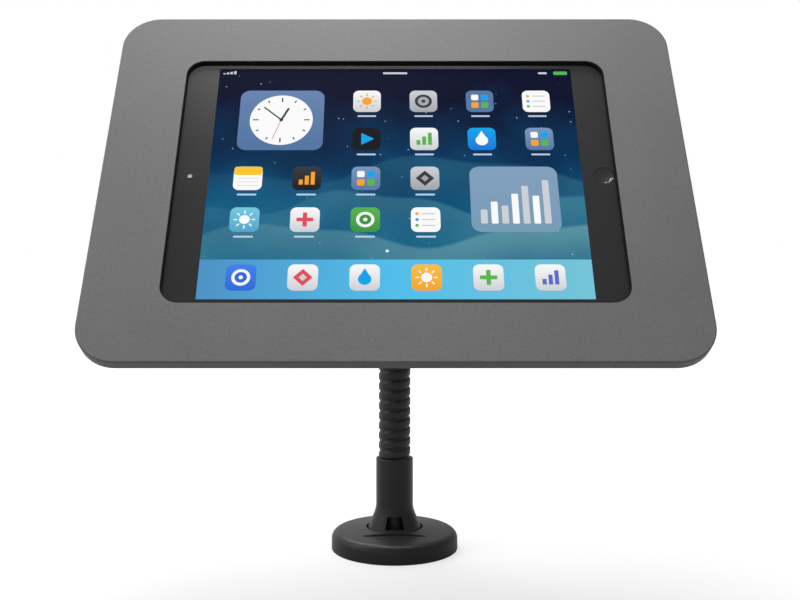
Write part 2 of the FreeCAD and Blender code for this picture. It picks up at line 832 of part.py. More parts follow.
def lock_pieces():
    """A cam lock through the tray's floor: body, nut, plug, cam and cam screw."""
    barrel_front = -size("lock_barrel_front")
    flange_end = floor_back - size("lock_flange_depth")
    barrel = fuse(rod(size("lock_barrel"), floor_back, barrel_front, 0, lock_y),
                  rod(size("lock_flange"), flange_end, floor_back, 0, lock_y))
    bore = rod(size("lock_plug") + size("lock_play"), flange_end, barrel_front, 0, lock_y)
    on_head(cut(barrel, bore), "lock_body")
    nut_front = floor_front + size("lock_nut_depth")
    on_head(nut(size("lock_nut_flats"), size("lock_barrel"), floor_front, nut_front, 0, lock_y), "lock_nut")
    cam_back = barrel_front + size("cam_gap")
    cam_front = cam_back + size("cam_depth")
    key_half, key_wide = size("keyway_long") / 2, size("keyway_wide") / 2
    keyway = block(-key_wide, key_wide, lock_y - key_half, lock_y + key_half, flange_end,
                   flange_end + size("keyway_deep"))
    square = size("cam_square")
    plug = fuse(rod(size("lock_plug"), flange_end, barrel_front + size("cam_gap"), 0, lock_y),
                block(-square, square, lock_y - square, lock_y + square, cam_back, cam_front))
    on_head(cut(plug, keyway, rod(size("small_screw"), barrel_front, cam_front, 0, lock_y)), "lock_plug")
    half = size("cam_width") / 2
    tip = root(size("cam_reach") * size("cam_reach") - half * half)
    arm = fuse(rod(half + size("cam_eye"), cam_back, cam_front, 0, lock_y),
               block(0, tip, lock_y - half, lock_y + half, cam_back, cam_front))
    eye = block(-square, square, lock_y - square, lock_y + square, cam_back, cam_front)
    on_head(cut(arm, eye), "lock_cam")
    on_head(screw(size("small_screw"), size("cam_screw_head"), cam_front,
                  cam_front + size("small_screw_head_depth"), barrel_front, 0, lock_y), "cam_screw")


def tablet_pieces():
    """The tablet that the enclosure holds, with its main pieces."""
    middle = size("tablet_raise")
    width, height, corner = size("tablet_width"), size("tablet_height"), size("tablet_corner")
    seat = size("glass_margin")
    wall = size("shell_wall")
    shell = new_body()
    pad(shell, rectangle(new_sketch(shell, height=tablet_back), width, height, corner, 0, middle),
        size("tablet_depth"))
    dress_edges(shell, "Chamfer", "Size", size("tablet_back_bevel"),
                lambda edge: flat_at(edge, tablet_back.number))
    glass_back = glass_front - size("glass_depth")
    pocket(shell, rectangle(new_sketch(shell, height=glass_back), width - seat * 2, height - seat * 2,
                            corner - seat, 0, middle), size("glass_depth"), upwards=True)
    inside = tablet_back + size("shell_floor")
    pocket(shell, rectangle(new_sketch(shell, height=inside), width - wall * 2, height - wall * 2,
                            corner - wall, 0, middle), glass_back - inside, upwards=True)
    on_head(shell, "tablet_shell")

    hole = size("button_radius") + size("button_gap")
    glass = new_body()
    pad(glass, rectangle(new_sketch(glass, height=glass_back), width - seat * 2, height - seat * 2,
                         corner - seat, 0, middle), size("glass_depth"))
    for x, radius in ((button_x, hole), (camera_x, size("camera_radius"))):
        through(glass, circle(new_sketch(glass), radius, x, middle))
    on_head(glass, "tablet_glass")

    display = new_body()
    lap = size("display_lap") * 2
    face = new_sketch(display, height=glass_back - size("display_depth"))
    pad(display, rectangle(face, display_width + lap, display_height + lap, size("glass_margin"), 0,
                           middle - size("display_drop")), size("display_depth"))
    on_head(display, "tablet_display")

    half_height = size("battery_height") / 2
    battery_left = -size("battery_width") / 2 - size("battery_shift")
    battery_right = battery_left + size("battery_width")
    on_head(block(battery_left, battery_right, middle - half_height, middle + half_height,
                  inside, inside + size("battery_depth")), "tablet_battery")
    board_left = battery_right + size("board_gap")
    half_height = size("board_height") / 2
    on_head(block(board_left, board_left + size("board_width"), middle - half_height, middle + half_height,
                  inside, inside + size("board_depth")), "tablet_board")
    camera_front = glass_front - size("button_gap")
    on_head(rod(size("camera_radius"), glass_back - size("display_depth"), camera_front, camera_x, middle),
            "tablet_camera")

    button_front = glass_front - size("button_gap")
    button_back = button_front - size("button_depth")
    dish = new_body()
    edge = size("button_radius")
    curve = edge * edge / size("button_dish") / 2
    revolve(dish, [(0, button_back), (edge, button_back), (edge, button_front),
                   (edge - size("button_rim"), button_front, {"arc": -curve}),
                   (0, button_front - size("button_dish"))])
    leaning(dish, head_y + middle * cosine(turn), head_z + middle * sine(turn), turn)
    bind(dish, "Placement.Base.x", button_x)
    part_done(dish, "home_button")
    half = size("switch_size") / 2
    on_head(block(button_x - half, button_x + half, middle - half, middle + half, inside,
                  button_back - size("button_travel") - size("button_gap")), "home_switch")


def tray_fittings():
    """The foam pad, corner bumpers and cable grommet inside the tray."""
    middle = size("tablet_raise")
    body = new_body()
    pad(body, rectangle(new_sketch(body, height=floor_front), size("pad_width"), size("pad_height"),
                        size("plate_corner") - size("rim_wall"), 0, middle), size("pad_depth"))
    through(body, circle(new_sketch(body), size("pivot_head"), 0, 0))
    on_head(body, "tray_pad")
    for number, (across, up) in enumerate(SCREEN_CORNERS, start=1):
        bumper = new_body()
        outer_x = (size("tablet_width") / 2 + size("bumper_wall")) * across
        outer_y = middle + (size("tablet_height") / 2 + size("bumper_wall")) * up
        inner_x = outer_x - size("bumper_reach") * across
        inner_y = outer_y - size("bumper_reach") * up
        limits_x = (inner_x, outer_x) if across > 0 else (outer_x, inner_x)
        limits_y = (inner_y, outer_y) if up > 0 else (outer_y, inner_y)
        pad(bumper, block_outline(new_sketch(bumper, height=floor_front), *limits_x, *limits_y),
            glass_front - floor_front)
        gap = size("bumper_gap")
        through(bumper, rectangle(new_sketch(bumper), size("tablet_width") + gap * 2,
                                  size("tablet_height") + gap * 2, size("tablet_corner") + gap, 0, middle))
        on_head(bumper, f"corner_bumper_{number}")
    rear = floor_back - size("grommet_lip_depth")
    front = floor_front + size("grommet_lip_depth")
    rings = fuse(rod(grommet_lip, rear, floor_back, grommet_x, 0),
                 rod(grommet_lip, floor_front, front, grommet_x, 0),
                 rod(size("grommet_bore") + size("grommet_wall"), floor_back, floor_front, grommet_x, 0))
    on_head(cut(rings, rod(size("grommet_bore"), rear, front, grommet_x, 0)), "cable_grommet")


def swivel_pieces():
    """The plate on the tray, its screws, the hollow pivot bolt and what clamps the hub."""
    pin_y = size("stop_circle")
    plate = new_body()
    pad(plate, circle(new_sketch(plate, height=flange_back), size("flange_radius")), size("flange_depth"))
    holes = [(size("pivot_radius"), 0, 0), (size("stop_pin_radius"), 0, pin_y)]
    holes += [(size("flange_screw"), x, y) for x, y in spread(FLANGE_SCREWS, size("flange_screw_circle"), 45)]
    for radius, x, y in holes:
        pocket(plate, circle(new_sketch(plate, height=flange_back), radius, x, y), size("flange_depth"),
               upwards=True)
    on_head(plate, "swivel_plate")
    screws = [screw(size("flange_screw"), size("flange_screw_head"), flange_back,
                    flange_back - size("flange_screw_head_depth"), floor_front, x, y)
              for x, y in spread(FLANGE_SCREWS, size("flange_screw_circle"), 45)]
    on_head(group(*screws), "swivel_screws")
    on_head(rod(size("stop_pin_radius"), hub_seat + size("hub_gap") * 2, floor_back, 0, pin_y), "stop_pin")
    on_head(tube(size("friction_radius"), size("pivot_radius"), friction_back, flange_back), "friction_disc")
    washer_back = hub_seat - size("hub_gap") - size("spring_washer_depth")
    on_head(tube(size("pivot_nut_flats") / 2, size("pivot_radius"), washer_back, hub_seat - size("hub_gap")),
            "spring_washer")
    nut_back = washer_back - size("pivot_nut_depth")
    on_head(nut(size("pivot_nut_flats"), size("pivot_radius"), nut_back, washer_back), "pivot_nut")
    bolt_end = nut_back - size("pivot_tip")
    bolt_front = floor_back + size("pivot_head_depth")
    bolt = screw(size("pivot_radius"), size("pivot_head"), floor_back, bolt_front, bolt_end)
    bore = rod(size("link_bore"), bolt_end, bolt_front)
    on_head(cut(bolt, bore), "pivot_bolt")


def head_hub():
    """The cup that joins the neck to the swivel, with an arc slot for the stop pin."""
    body = new_body()
    bore = size("sleeve_bore")
    end = size("sleeve_radius")
    slim = hub_back + size("hub_taper")
    revolve(body, [(bore, hub_back), (end, hub_back), (size("hub_radius"), slim),
                   (size("hub_radius"), hub_seat), (size("hub_flange_radius"), hub_seat),
                   (size("hub_flange_radius"), hub_front),
                   (size("pivot_radius") + size("pivot_play"), hub_front),
                   (size("pivot_radius") + size("pivot_play"), hub_seat), (bore, hub_seat)])
    half = size("stop_pin_radius") + size("stop_slot_play")
    slot_low, slot_high = hub_seat - CUT_PAST, hub_front + CUT_PAST
    slot = [(size("stop_circle") - half, slot_low), (size("stop_circle") + half, slot_low),
            (size("stop_circle") + half, slot_high), (size("stop_circle") - half, slot_high)]
    groove(body, slot, size("turn_each_way") * 2 + size("stop_slot_turn"))
    screws = []
    height = hub_back + size("hub_grip") + size("ferrule_flange_depth") / 2
    holed = body
    for angle in (30, 150):
        holed = bored_across(holed, size("set_screw_radius"), size("hub_radius") * 2, angle, height)
        screws.append(radial_rod(size("set_screw_radius"), size("ferrule_flange"),
                                 size("hub_radius") - size("set_screw_sink"), angle, height))
    on_head(holed, "head_hub")
    on_head(group(*screws), "hub_screws")


def neck_socket():
    """The sleeve that holds the neck and turns in the base on its hollow spindle."""
    body = new_body()
    flange_low = size("base_plate_depth") + size("bush_flange") + size("bush_play")
    flange_top = flange_low + size("foot_flange_depth")
    top = size("sleeve_top")
    spindle = size("spindle_radius")
    groove_low = size("spindle_foot") + size("ring_groove_low")
    groove_top = groove_low + size("ring_depth")
    groove_radius = spindle - size("ring_groove")
    slope = tangent(size("foot_slope"))
    flare_top = size("foot_rise") + (size("foot_radius") - size("sleeve_radius")) / slope
    foot_inner = size("foot_radius") - size("foot_wall")
    cavity_top = size("foot_rise") + (foot_inner - size("socket_cavity")) / slope
    neck_seat = top - size("socket_grip") - size("ferrule_flange_depth")
    lip = {"round": size("sleeve_lip")}
    revolve(body, [(size("spindle_bore"), size("spindle_foot")), (spindle, size("spindle_foot")),
                   (spindle, groove_low), (groove_radius, groove_low), (groove_radius, groove_top),
                   (spindle, groove_top), (spindle, flange_low), (size("foot_flange_radius"), flange_low),
                   (size("foot_flange_radius"), flange_top), (size("foot_radius"), flange_top),
                   (size("foot_radius"), size("foot_rise")),
                   (size("sleeve_radius"), flare_top, {"round": size("foot_blend")}),
                   (size("sleeve_radius"), top, lip), (size("sleeve_bore"), top),
                   (size("sleeve_bore"), neck_seat), (size("socket_cavity"), neck_seat),
                   (size("socket_cavity"), cavity_top), (foot_inner, size("foot_rise")),
                   (foot_inner, flange_top), (size("spindle_bore"), flange_top)])
    low = size("window_low")
    high = low + size("window_tall")
    window = outline(new_sketch(body, "XZ_Plane"), [
        (-size("window_low_half"), low), (size("window_low_half"), low),
        (size("window_top_half"), high), (-size("window_top_half"), high)])
    through(body, window)
    notch_half = size("sleeve_notch") / 2
    notch_sketch = new_sketch(body, "XZ_Plane", size("sleeve_bore") - CUT_PAST)
    notch = block_outline(notch_sketch, -notch_half, notch_half, top - size("sleeve_lip"), top + CUT_PAST)
    pocket(body, notch, size("sleeve_radius"), upwards=True)
    height = neck_seat + size("ferrule_flange_depth") / 2
    holed = body
    screws = []
    for angle in (60, 120):
        holed = bored_across(holed, size("set_screw_radius"), size("foot_radius"), angle, height)
        screws.append(radial_rod(size("set_screw_radius"), size("ferrule_flange"),
                                 size("sleeve_radius") - size("set_screw_sink"), angle, height))
    part_done(holed, "neck_socket")
    part_done(group(*screws), "socket_screws")
    ring_low = groove_low + size("ring_play")
    part_done(tube(groove_radius + size("ring_reach"), groove_radius, ring_low, groove_top), "retaining_ring")


def base_pieces():
    """The plate, its cover, the rubber ring, the bush, the washer and the cover's screws."""
    bush_radius = size("spindle_radius") + size("bush_play")
    hole = bush_radius + size("bush_wall")
    depth = size("base_plate_depth")
    edge = size("base_radius") - size("base_wall")
    pad_outer = edge - size("pad_ring_gap")
    pad_inner = pad_outer - size("pad_ring_width")
    foot = pad_inner - size("pad_ring_gap")
    desk_circle = (foot - size("base_screw_hole") - size("base_screw_margin")) * 2
    cover_circle = (edge - size("cover_boss") - size("cover_boss_gap")) * 2
    plate = new_body()
    revolve(plate, [(size("base_ring_bore"), 0), (foot, 0), (foot, size("pad_ring_depth")),
                    (edge - size("base_plate_gap"), size("pad_ring_depth")),
                    (edge - size("base_plate_gap"), depth), (hole, depth), (hole, size("base_ring_pocket")),
                    (size("base_ring_bore"), size("base_ring_pocket"))])
    for x, y in spread(BASE_SCREWS, desk_circle, 45):
        pocket(plate, circle(new_sketch(plate), size("base_screw_hole"), x, y), depth, upwards=True)
    seat = depth - size("cover_screw_head")
    for x, y in spread(COVER_SCREWS, cover_circle, 90):
        pocket(plate, circle(new_sketch(plate), size("cover_screw_radius"), x, y), depth, upwards=True)
        pocket(plate, circle(new_sketch(plate), size("cover_screw_head"), x, y), seat, upwards=True)
    part_done(plate, "base_plate")

    cover = new_body()
    wall = size("base_wall")
    crown_low = size("base_shoulder")
    crown_top = crown_low + size("base_crown")
    revolve(cover, [(edge, 0), (size("base_radius"), 0),
                    (size("base_radius"), crown_low, {"round": size("base_round")}),
                    (size("base_hole"), crown_top), (size("base_hole"), crown_top - wall),
                    (edge, crown_low - wall, {"round": size("base_round") - wall})])
    floor = size("mark_floor")
    drop = (size("mark_front") - size("mark_outer")
            + root(size("mark_outer") * size("mark_outer") - size("mark_half") * size("mark_half")))
    mark = outline(new_sketch(cover, height=floor), [
        (-size("mark_half"), -drop, {"arc": size("mark_outer")}),
        (size("mark_half"), -drop, {"arc": size("mark_curve")})])
    pocket(cover, mark, size("base_crown") * 2, upwards=True)
    boss = new_sketch(cover, height=depth)
    for x, y in spread(COVER_SCREWS, cover_circle, 90):
        circle(boss, size("cover_boss"), x, y)
    pad(cover, boss, crown_low - wall / 2 - depth)
    for x, y in spread(COVER_SCREWS, cover_circle, 90):
        pocket(cover, circle(new_sketch(cover, height=depth), size("cover_screw_radius"), x, y),
               size("base_wall"), upwards=True)
    part_done(cover, "base_cover")

    part_done(tube(pad_outer, pad_inner, 0, size("pad_ring_depth")), "base_pad")
    bush = new_body()
    flange_top = depth + size("bush_flange")
    revolve(bush, [(bush_radius, size("base_ring_pocket")), (hole, size("base_ring_pocket")), (hole, depth),
                   (size("foot_flange_radius"), depth), (size("foot_flange_radius"), flange_top),
                   (bush_radius, flange_top)])
    part_done(bush, "swivel_bush")
    washer_low = size("spindle_foot") + size("ring_groove_low") + size("ring_depth") + size("washer_gap")
    part_done(tube(size("base_ring_bore") - size("washer_side_gap"), bush_radius, washer_low,
                   washer_low + size("wave_washer_depth")), "wave_washer")
    screws = [screw(size("cover_screw_radius"), size("cover_screw_head"), seat, size("pad_ring_depth"),
                    depth + size("base_wall"), x, y)
              for x, y in spread(COVER_SCREWS, cover_circle, 90)]
    part_done(group(*screws), "cover_screws")


def ball_end(centre):
    """Profile corners of a bored ball on a shoulder, from the shoulder inwards."""
    ball, bore, shoulder = size("link_ball"), size("link_bore"), size("link_shoulder")
    return [(root(ball * ball - shoulder * shoulder), centre - shoulder, {"arc": ball}),
            (bore, centre + root(ball * ball - bore * bore))]


def cup_end(centre, outer):
    """Profile corners of a cup over the ball below it, from its bore outwards."""
    cup = size("link_ball") + size("link_cup_gap")
    bore, rim = size("link_bore"), size("link_cup_rim")
    return [(bore, centre + root(cup * cup - bore * bore), {"arc": -cup}),
            (root(cup * cup - rim * rim), centre + rim), (outer, centre + rim)]


def neck_pieces():
    """The ferrules and the hollow ball-ended links that run inside the winding."""
    stations = [neck_point(joint_step * (number + 0.5)) for number in range(NECK_JOINTS)]
    link_radius = size("link_outer")
    body = new_body()
    first_joint = size("sleeve_top") + joint_step / 2
    seat = size("sleeve_top") - size("socket_grip") - size("ferrule_flange_depth")
    above = seat + size("ferrule_flange_depth")
    revolve(body, [(size("link_bore"), seat), (size("ferrule_flange"), seat), (size("ferrule_flange"), above),
                   (size("ferrule_radius"), above), (size("ferrule_radius"), size("sleeve_top")),
                   (link_radius, size("sleeve_top")), (link_radius, first_joint - size("link_shoulder"))]
            + ball_end(first_joint))
    part_done(body, "lower_ferrule")

    for number in range(1, NECK_JOINTS):
        (y_low, z_low, _), (y_high, z_high, _) = stations[number - 1], stations[number]
        across, rise = y_low - y_high, z_high - z_low
        span = root(across * across + rise * rise)
        lean = Size(math.degrees(math.atan2(across.number, rise.number)),
                    f"(atan2({across.text}; {rise.text}) / 1 deg)")
        link = new_body()
        revolve(link, cup_end(as_size(0), link_radius) + [(link_radius, span - size("link_shoulder"))]
                + ball_end(span))
        part_done(leaning(link, y_low, z_low, lean), f"neck_link_{number}")

    upper = new_body()
    last_joint = hub_back - joint_step / 2
    seat = hub_back + size("hub_grip")
    revolve(upper, cup_end(last_joint, link_radius) + [
        (link_radius, hub_back), (size("ferrule_radius"), hub_back), (size("ferrule_radius"), seat),
        (size("ferrule_flange"), seat), (size("ferrule_flange"), seat + size("ferrule_flange_depth")),
        (size("link_bore"), seat + size("ferrule_flange_depth"))])
    on_head(upper, "upper_ferrule")


def winding_point(radius, distance, turns):
    """A point on the wound strip, which climbs the neck as a right hand screw does."""
    y, z, lean = neck_point(as_size(distance))
    slope = math.radians(lean.number)
    angle = 2 * math.pi * turns
    back = radius * math.cos(angle)
    return Vector(-radius * math.sin(angle), y.number + back * math.cos(slope),
                  z.number + back * math.sin(slope))


def winding_edge(radius, shift, start_turn, end_turn, pitch, start):
    """One long edge of the wound strip, as a smooth curve over part of a turn."""
    steps = 8
    points = []
    for step in range(steps + 1):
        turns = start_turn + (end_turn - start_turn) * step / steps
        points.append(winding_point(radius, start + turns * pitch + shift, turns))
    curve = Part.BSplineCurve()
    curve.interpolate(points)
    return curve.toShape()


def neck_winding():
    """One unbroken strip wound round the neck, with a crowned outer face."""
    pitch = size("winding_pitch").number
    start = SIZES["winding_groove"] - SIZES["socket_grip"]
    length = neck_end.number + SIZES["hub_grip"] - SIZES["winding_groove"] - start
    width = pitch - SIZES["winding_groove"]
    turns = math.floor((length - width) / pitch * 2) / 2
    outer = SIZES["winding_radius"]
    edge = outer - SIZES["winding_crown"]
    bore = SIZES["winding_bore"]
    shoulder = SIZES["winding_shoulder"]
    profile = [(bore, 0), (edge, 0), (outer, shoulder), (outer, width - shoulder), (edge, width),
               (bore, width)]
    faces = []
    pieces = int(turns * 2)
    for piece in range(pieces):
        edges = [winding_edge(radius, shift, piece / 2, (piece + 1) / 2, pitch, start)
                 for radius, shift in profile]
        for index, line in enumerate(edges):
            faces.append(Part.makeRuledSurface(line, edges[(index + 1) % len(edges)]))
    for turn_count in (0, turns):
        corners = [winding_point(radius, start + turn_count * pitch + shift, turn_count)
                   for radius, shift in profile]
        faces.append(Part.Face(Part.makePolygon(corners + corners[:1])))
    shell = Part.Shell(faces)
    shell.sewShape()
    solid = Part.Solid(shell)
    if solid.Volume < 0:
        solid.reverse()
    least = min((winding_point(0, start + turn_count * pitch + pitch, 0)
                 - winding_point(0, start + turn_count * pitch + width, 0)).Length
                for turn_count in range(int(turns) - 1))
    inside = 1 - outer / SIZES["bend_radius"]
    print("winding turns", turns, "least gap to itself", round(least * inside, 3), "mm")
    winding = document.addObject("Part::Feature", "winding")
    winding.Shape = solid
    return part_done(winding, "neck_winding")


def build():
    """Makes every sub-part and writes each one to its own file."""
    front_cover()
    window_liner()
    rear_tray()
    for name, side in SIDES.items():
        hinge_arm(side, name)
        hinge_pin(side, name)
    inside_screws("hinge_screws", hinge_screw_places(), sheet_back - size("hinge_foot"))
    inside_screws("catch_screws", catch_screw_places(), sheet_back - size("catch_sheet"))
    cover_catch()
    lock_pieces()
    tablet_pieces()
    tray_fittings()
    swivel_pieces()
    head_hub()
    neck_socket()
    base_pieces()
    neck_pieces()
    neck_winding()
    document.recompute()
    broken = [item.Label for item in document.Objects if {"Invalid", "Error"} & set(item.State)]
    broken += [item.Label for item in subparts if item.Shape.isNull() or not item.Shape.isValid()]
    if broken:
        raise RuntimeError(f"these objects failed: {broken}")
    os.makedirs("parts", exist_ok=True)
    for item in subparts:
        item.Shape.exportStep(f"parts/{item.Label}.step")
    print(len(subparts), "sub-parts, head at", round(head_y.number, 3), round(head_z.number, 3))


build()
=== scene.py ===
import json
import math

import bpy
from mathutils import Matrix, Vector


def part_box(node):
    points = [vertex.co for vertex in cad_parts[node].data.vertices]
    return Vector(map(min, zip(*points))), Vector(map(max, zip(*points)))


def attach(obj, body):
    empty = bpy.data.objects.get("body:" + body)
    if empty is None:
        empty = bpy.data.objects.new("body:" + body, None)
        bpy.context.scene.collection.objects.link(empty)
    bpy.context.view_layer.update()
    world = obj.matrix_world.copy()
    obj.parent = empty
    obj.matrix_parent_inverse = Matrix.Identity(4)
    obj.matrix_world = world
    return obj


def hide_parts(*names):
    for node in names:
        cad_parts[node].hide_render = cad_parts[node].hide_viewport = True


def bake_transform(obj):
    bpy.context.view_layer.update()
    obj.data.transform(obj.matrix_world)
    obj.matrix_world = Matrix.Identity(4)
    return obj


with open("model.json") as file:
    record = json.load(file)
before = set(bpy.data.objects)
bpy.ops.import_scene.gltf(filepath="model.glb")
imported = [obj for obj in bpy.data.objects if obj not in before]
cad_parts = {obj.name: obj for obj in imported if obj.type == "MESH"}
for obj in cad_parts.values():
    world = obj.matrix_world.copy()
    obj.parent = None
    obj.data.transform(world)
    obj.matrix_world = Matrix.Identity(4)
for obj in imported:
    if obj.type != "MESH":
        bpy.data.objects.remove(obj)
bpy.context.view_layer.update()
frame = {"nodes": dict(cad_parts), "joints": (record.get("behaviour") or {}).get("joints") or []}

# Base plate, its three cover screws and the spring washer and ring under the socket.
# Zinc plated steel: the plate is a machined disc, screwed to the desk through four holes,
# and the small parts are turned and stamped.
nodes = frame["nodes"]


def tone(red, green, blue):
    """A colour from its screen values, 0 to 255, as the renderer's own light values."""
    values = [level / 255 for level in (red, green, blue)]
    return tuple(level / 12.92 if level <= 0.04045 else ((level + 0.055) / 1.055) ** 2.4 for level in values)


def add_node(tree, kind, **settings):
    """A shader node with its settings."""
    node = tree.nodes.new(kind)
    for name, value in settings.items():
        setattr(node, name, value)
    return node


def group_sockets(tree, inputs, outputs):
    """Named inputs and outputs of a node group, F for a number, C a colour, V a vector."""
    kinds = {"F": "NodeSocketFloat", "C": "NodeSocketColor", "V": "NodeSocketVector"}
    for way, sockets in (("INPUT", inputs), ("OUTPUT", outputs)):
        for name, kind in sockets.items():
            tree.interface.new_socket(name, in_out=way, socket_type=kinds[kind])
    return add_node(tree, "NodeGroupInput"), add_node(tree, "NodeGroupOutput")


def grain_group():
    """Fine grain over slow clouding, as most coatings and mouldings have."""
    tree = bpy.data.node_groups.new("grain", "ShaderNodeTree")
    given, made = group_sockets(
        tree, {"Place": "V", "Scale": "F", "Light": "C", "Dark": "C", "Smooth": "F", "Rough": "F"},
        {"Colour": "C", "Roughness": "F", "Height": "F"})
    fine = add_node(tree, "ShaderNodeTexNoise")
    fine.inputs["Detail"].default_value = 3.0
    broad_scale = add_node(tree, "ShaderNodeMath", operation="MULTIPLY")
    broad_scale.inputs[1].default_value = 0.02
    broad = add_node(tree, "ShaderNodeTexNoise")
    blend = add_node(tree, "ShaderNodeMix", data_type="FLOAT")
    blend.inputs["Factor"].default_value = 0.3
    spread = add_node(tree, "ShaderNodeMapRange")
    spread.inputs["From Min"].default_value = 0.3
    spread.inputs["From Max"].default_value = 0.7
    colour = add_node(tree, "ShaderNodeMix", data_type="RGBA")
    rough = add_node(tree, "ShaderNodeMix", data_type="FLOAT")
    for start, end in ((given.outputs["Place"], fine.inputs["Vector"]),
                       (given.outputs["Scale"], fine.inputs["Scale"]),
                       (given.outputs["Scale"], broad_scale.inputs[0]),
                       (given.outputs["Place"], broad.inputs["Vector"]),
                       (broad_scale.outputs[0], broad.inputs["Scale"]),
                       (fine.outputs["Fac"], blend.inputs["A"]),
                       (broad.outputs["Fac"], blend.inputs["B"]),
                       (blend.outputs["Result"], spread.inputs["Value"]),
                       (spread.outputs["Result"], colour.inputs["Factor"]),
                       (given.outputs["Dark"], colour.inputs["A"]),
                       (given.outputs["Light"], colour.inputs["B"]),
                       (spread.outputs["Result"], rough.inputs["Factor"]),
                       (given.outputs["Smooth"], rough.inputs["A"]),
                       (given.outputs["Rough"], rough.inputs["B"]),
                       (colour.outputs["Result"], made.inputs["Colour"]),
                       (rough.outputs["Result"], made.inputs["Roughness"]),
                       (fine.outputs["Fac"], made.inputs["Height"])):
        tree.links.new(start, end)
    return tree


grain = grain_group()


def finish(name, light, dark, grain_size, roughness, relief, metallic=0.0, specular=0.5, stretch=(1, 1, 1)):
    """A material: two shades, grain and relief in metres, and a range of roughness."""
    material = bpy.data.materials.new(name)
    material.use_nodes = True
    tree = material.node_tree
    shader = tree.nodes["Principled BSDF"]
    shader.inputs["Metallic"].default_value = metallic
    shader.inputs["Specular IOR Level"].default_value = specular
    place = add_node(tree, "ShaderNodeTexCoord")
    mapping = add_node(tree, "ShaderNodeMapping")
    mapping.inputs["Scale"].default_value = stretch
    pattern = add_node(tree, "ShaderNodeGroup", node_tree=grain)
    pattern.inputs["Scale"].default_value = 1 / grain_size
    pattern.inputs["Light"].default_value = (*light, 1.0)
    pattern.inputs["Dark"].default_value = (*dark, 1.0)
    pattern.inputs["Smooth"].default_value = roughness[0]
    pattern.inputs["Rough"].default_value = roughness[1]
    bump = add_node(tree, "ShaderNodeBump")
    bump.inputs["Distance"].default_value = relief
    for start, end in ((place.outputs["Object"], mapping.inputs["Vector"]),
                       (mapping.outputs["Vector"], pattern.inputs["Place"]),
                       (pattern.outputs["Colour"], shader.inputs["Base Color"]),
                       (pattern.outputs["Roughness"], shader.inputs["Roughness"]),
                       (pattern.outputs["Height"], bump.inputs["Height"]),
                       (bump.outputs["Normal"], shader.inputs["Normal"])):
        tree.links.new(start, end)
    return material


def dress(material, *names):
    """Gives carried-over pieces their finish."""
    for name in names:
        for place in nodes[name].material_slots:
            place.material = material


zinc = finish("zinc_plate", (0.62, 0.61, 0.58), (0.48, 0.47, 0.45), 0.0006, (0.28, 0.42), 0.00001,
              metallic=1.0)
dress(zinc, "base_plate", "cover_screws", "retaining_ring", "wave_washer")

# Base cover, a domed disc that hides the plate and the screws to the desk.
# Die cast and powder coated satin black, held down by three screws from below. A shallow
# lens-shaped recess is sunk into its top in front of the socket.
satin_black = finish("satin_black_powder", (0.027, 0.027, 0.0275), (0.0205, 0.0205, 0.021), 0.0005,
                     (0.34, 0.44), 0.00002, specular=0.24)
dress(satin_black, "base_cover")

# Base pad, a flat rubber ring under the rim that keeps the stand from marking the desk.
# Die cut from black sheet rubber and glued to the plate.
rubber = finish("black_rubber", (0.02, 0.02, 0.02), (0.012, 0.012, 0.012), 0.0008, (0.7, 0.85), 0.00004,
                specular=0.3)
dress(rubber, "base_pad", "cable_grommet")

# Swivel bush, the flanged sleeve that the socket turns in.
# Turned from black acetal and pressed into the plate.
black_plastic = finish("black_acetal", (0.005, 0.005, 0.005), (0.003, 0.003, 0.003), 0.0005, (0.5, 0.62),
                       0.00001, specular=0.2)
dress(black_plastic, "swivel_bush")

# Socket, the flared sleeve that carries the neck and turns on the base, with its set screws.
# Turned steel with a cable window milled through front and back, powder coated like the base.
# The set screws are black oxide steel.
dress(satin_black, "neck_socket", "head_hub", "swivel_plate")
oxide = finish("black_oxide_steel", (0.05, 0.05, 0.052), (0.03, 0.03, 0.031), 0.0005, (0.3, 0.45), 0.00001,
               metallic=1.0)
dress(oxide, "socket_screws", "hub_screws", "swivel_screws")

# Neck core: the two ferrules and the ball ended links that run inside the winding.
# Turned steel, left bright, hollow for the charging lead.
steel = finish("bright_steel", (0.56, 0.55, 0.54), (0.44, 0.43, 0.42), 0.0007, (0.22, 0.36), 0.00001,
               metallic=1.0)
dress(steel, "lower_ferrule", "upper_ferrule", *[name for name in nodes if name.startswith("neck_link_")])

# Neck winding, the ribbed strip that shows between socket and hub.
# One crowned steel strip wound as a right hand screw round the core and coated black. It is
# made in eight lengths, laid end to end along the core.
head_turn = next(joint for joint in frame["joints"] if joint["name"] == "head_turn")
bend_angle = math.acos(head_turn["axis"][2])
bend_foot, bend_radius, neck_reach = 0.09535, 0.055, 0.0431
socket_grip, hub_grip, end_gap = 0.017, 0.012, 0.0005
strip_ridge, strip_groove, strip_bore, strip_pitch, strip_seam = 0.0083, 0.00772, 0.0064, 0.0052, 0.00003
groove_half, slope_run, strip_round, strip_start = 0.0004, 0.0007, 0.0004, math.radians(30)
turn_steps, round_steps = 48, 3
sleeve_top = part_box("neck_socket")[1].z
neck_rise = bend_foot - sleeve_top
neck_length = neck_rise + bend_radius * bend_angle + neck_reach
neck_bodies = ["socket", *[f"neck_{number}" for number in range(1, 8)], "collar"]
joint_step = neck_length / (len(neck_bodies) - 1)


def deselect():
    """Leaves nothing selected, so that the next operator acts on its own piece."""
    for thing in bpy.context.selected_objects:
        thing.select_set(False)


def neck_point(distance):
    """Centre of the neck at a distance above the sleeve."""
    if distance <= neck_rise:
        return Vector((0, 0, sleeve_top + distance))
    lean = min((distance - neck_rise) / bend_radius, bend_angle)
    past = max(distance - neck_rise - bend_radius * bend_angle, 0)
    return Vector((0, -bend_radius * (1 - math.cos(lean)) - past * math.sin(lean),
                   sleeve_top + neck_rise + bend_radius * math.sin(lean) + past * math.cos(lean)))


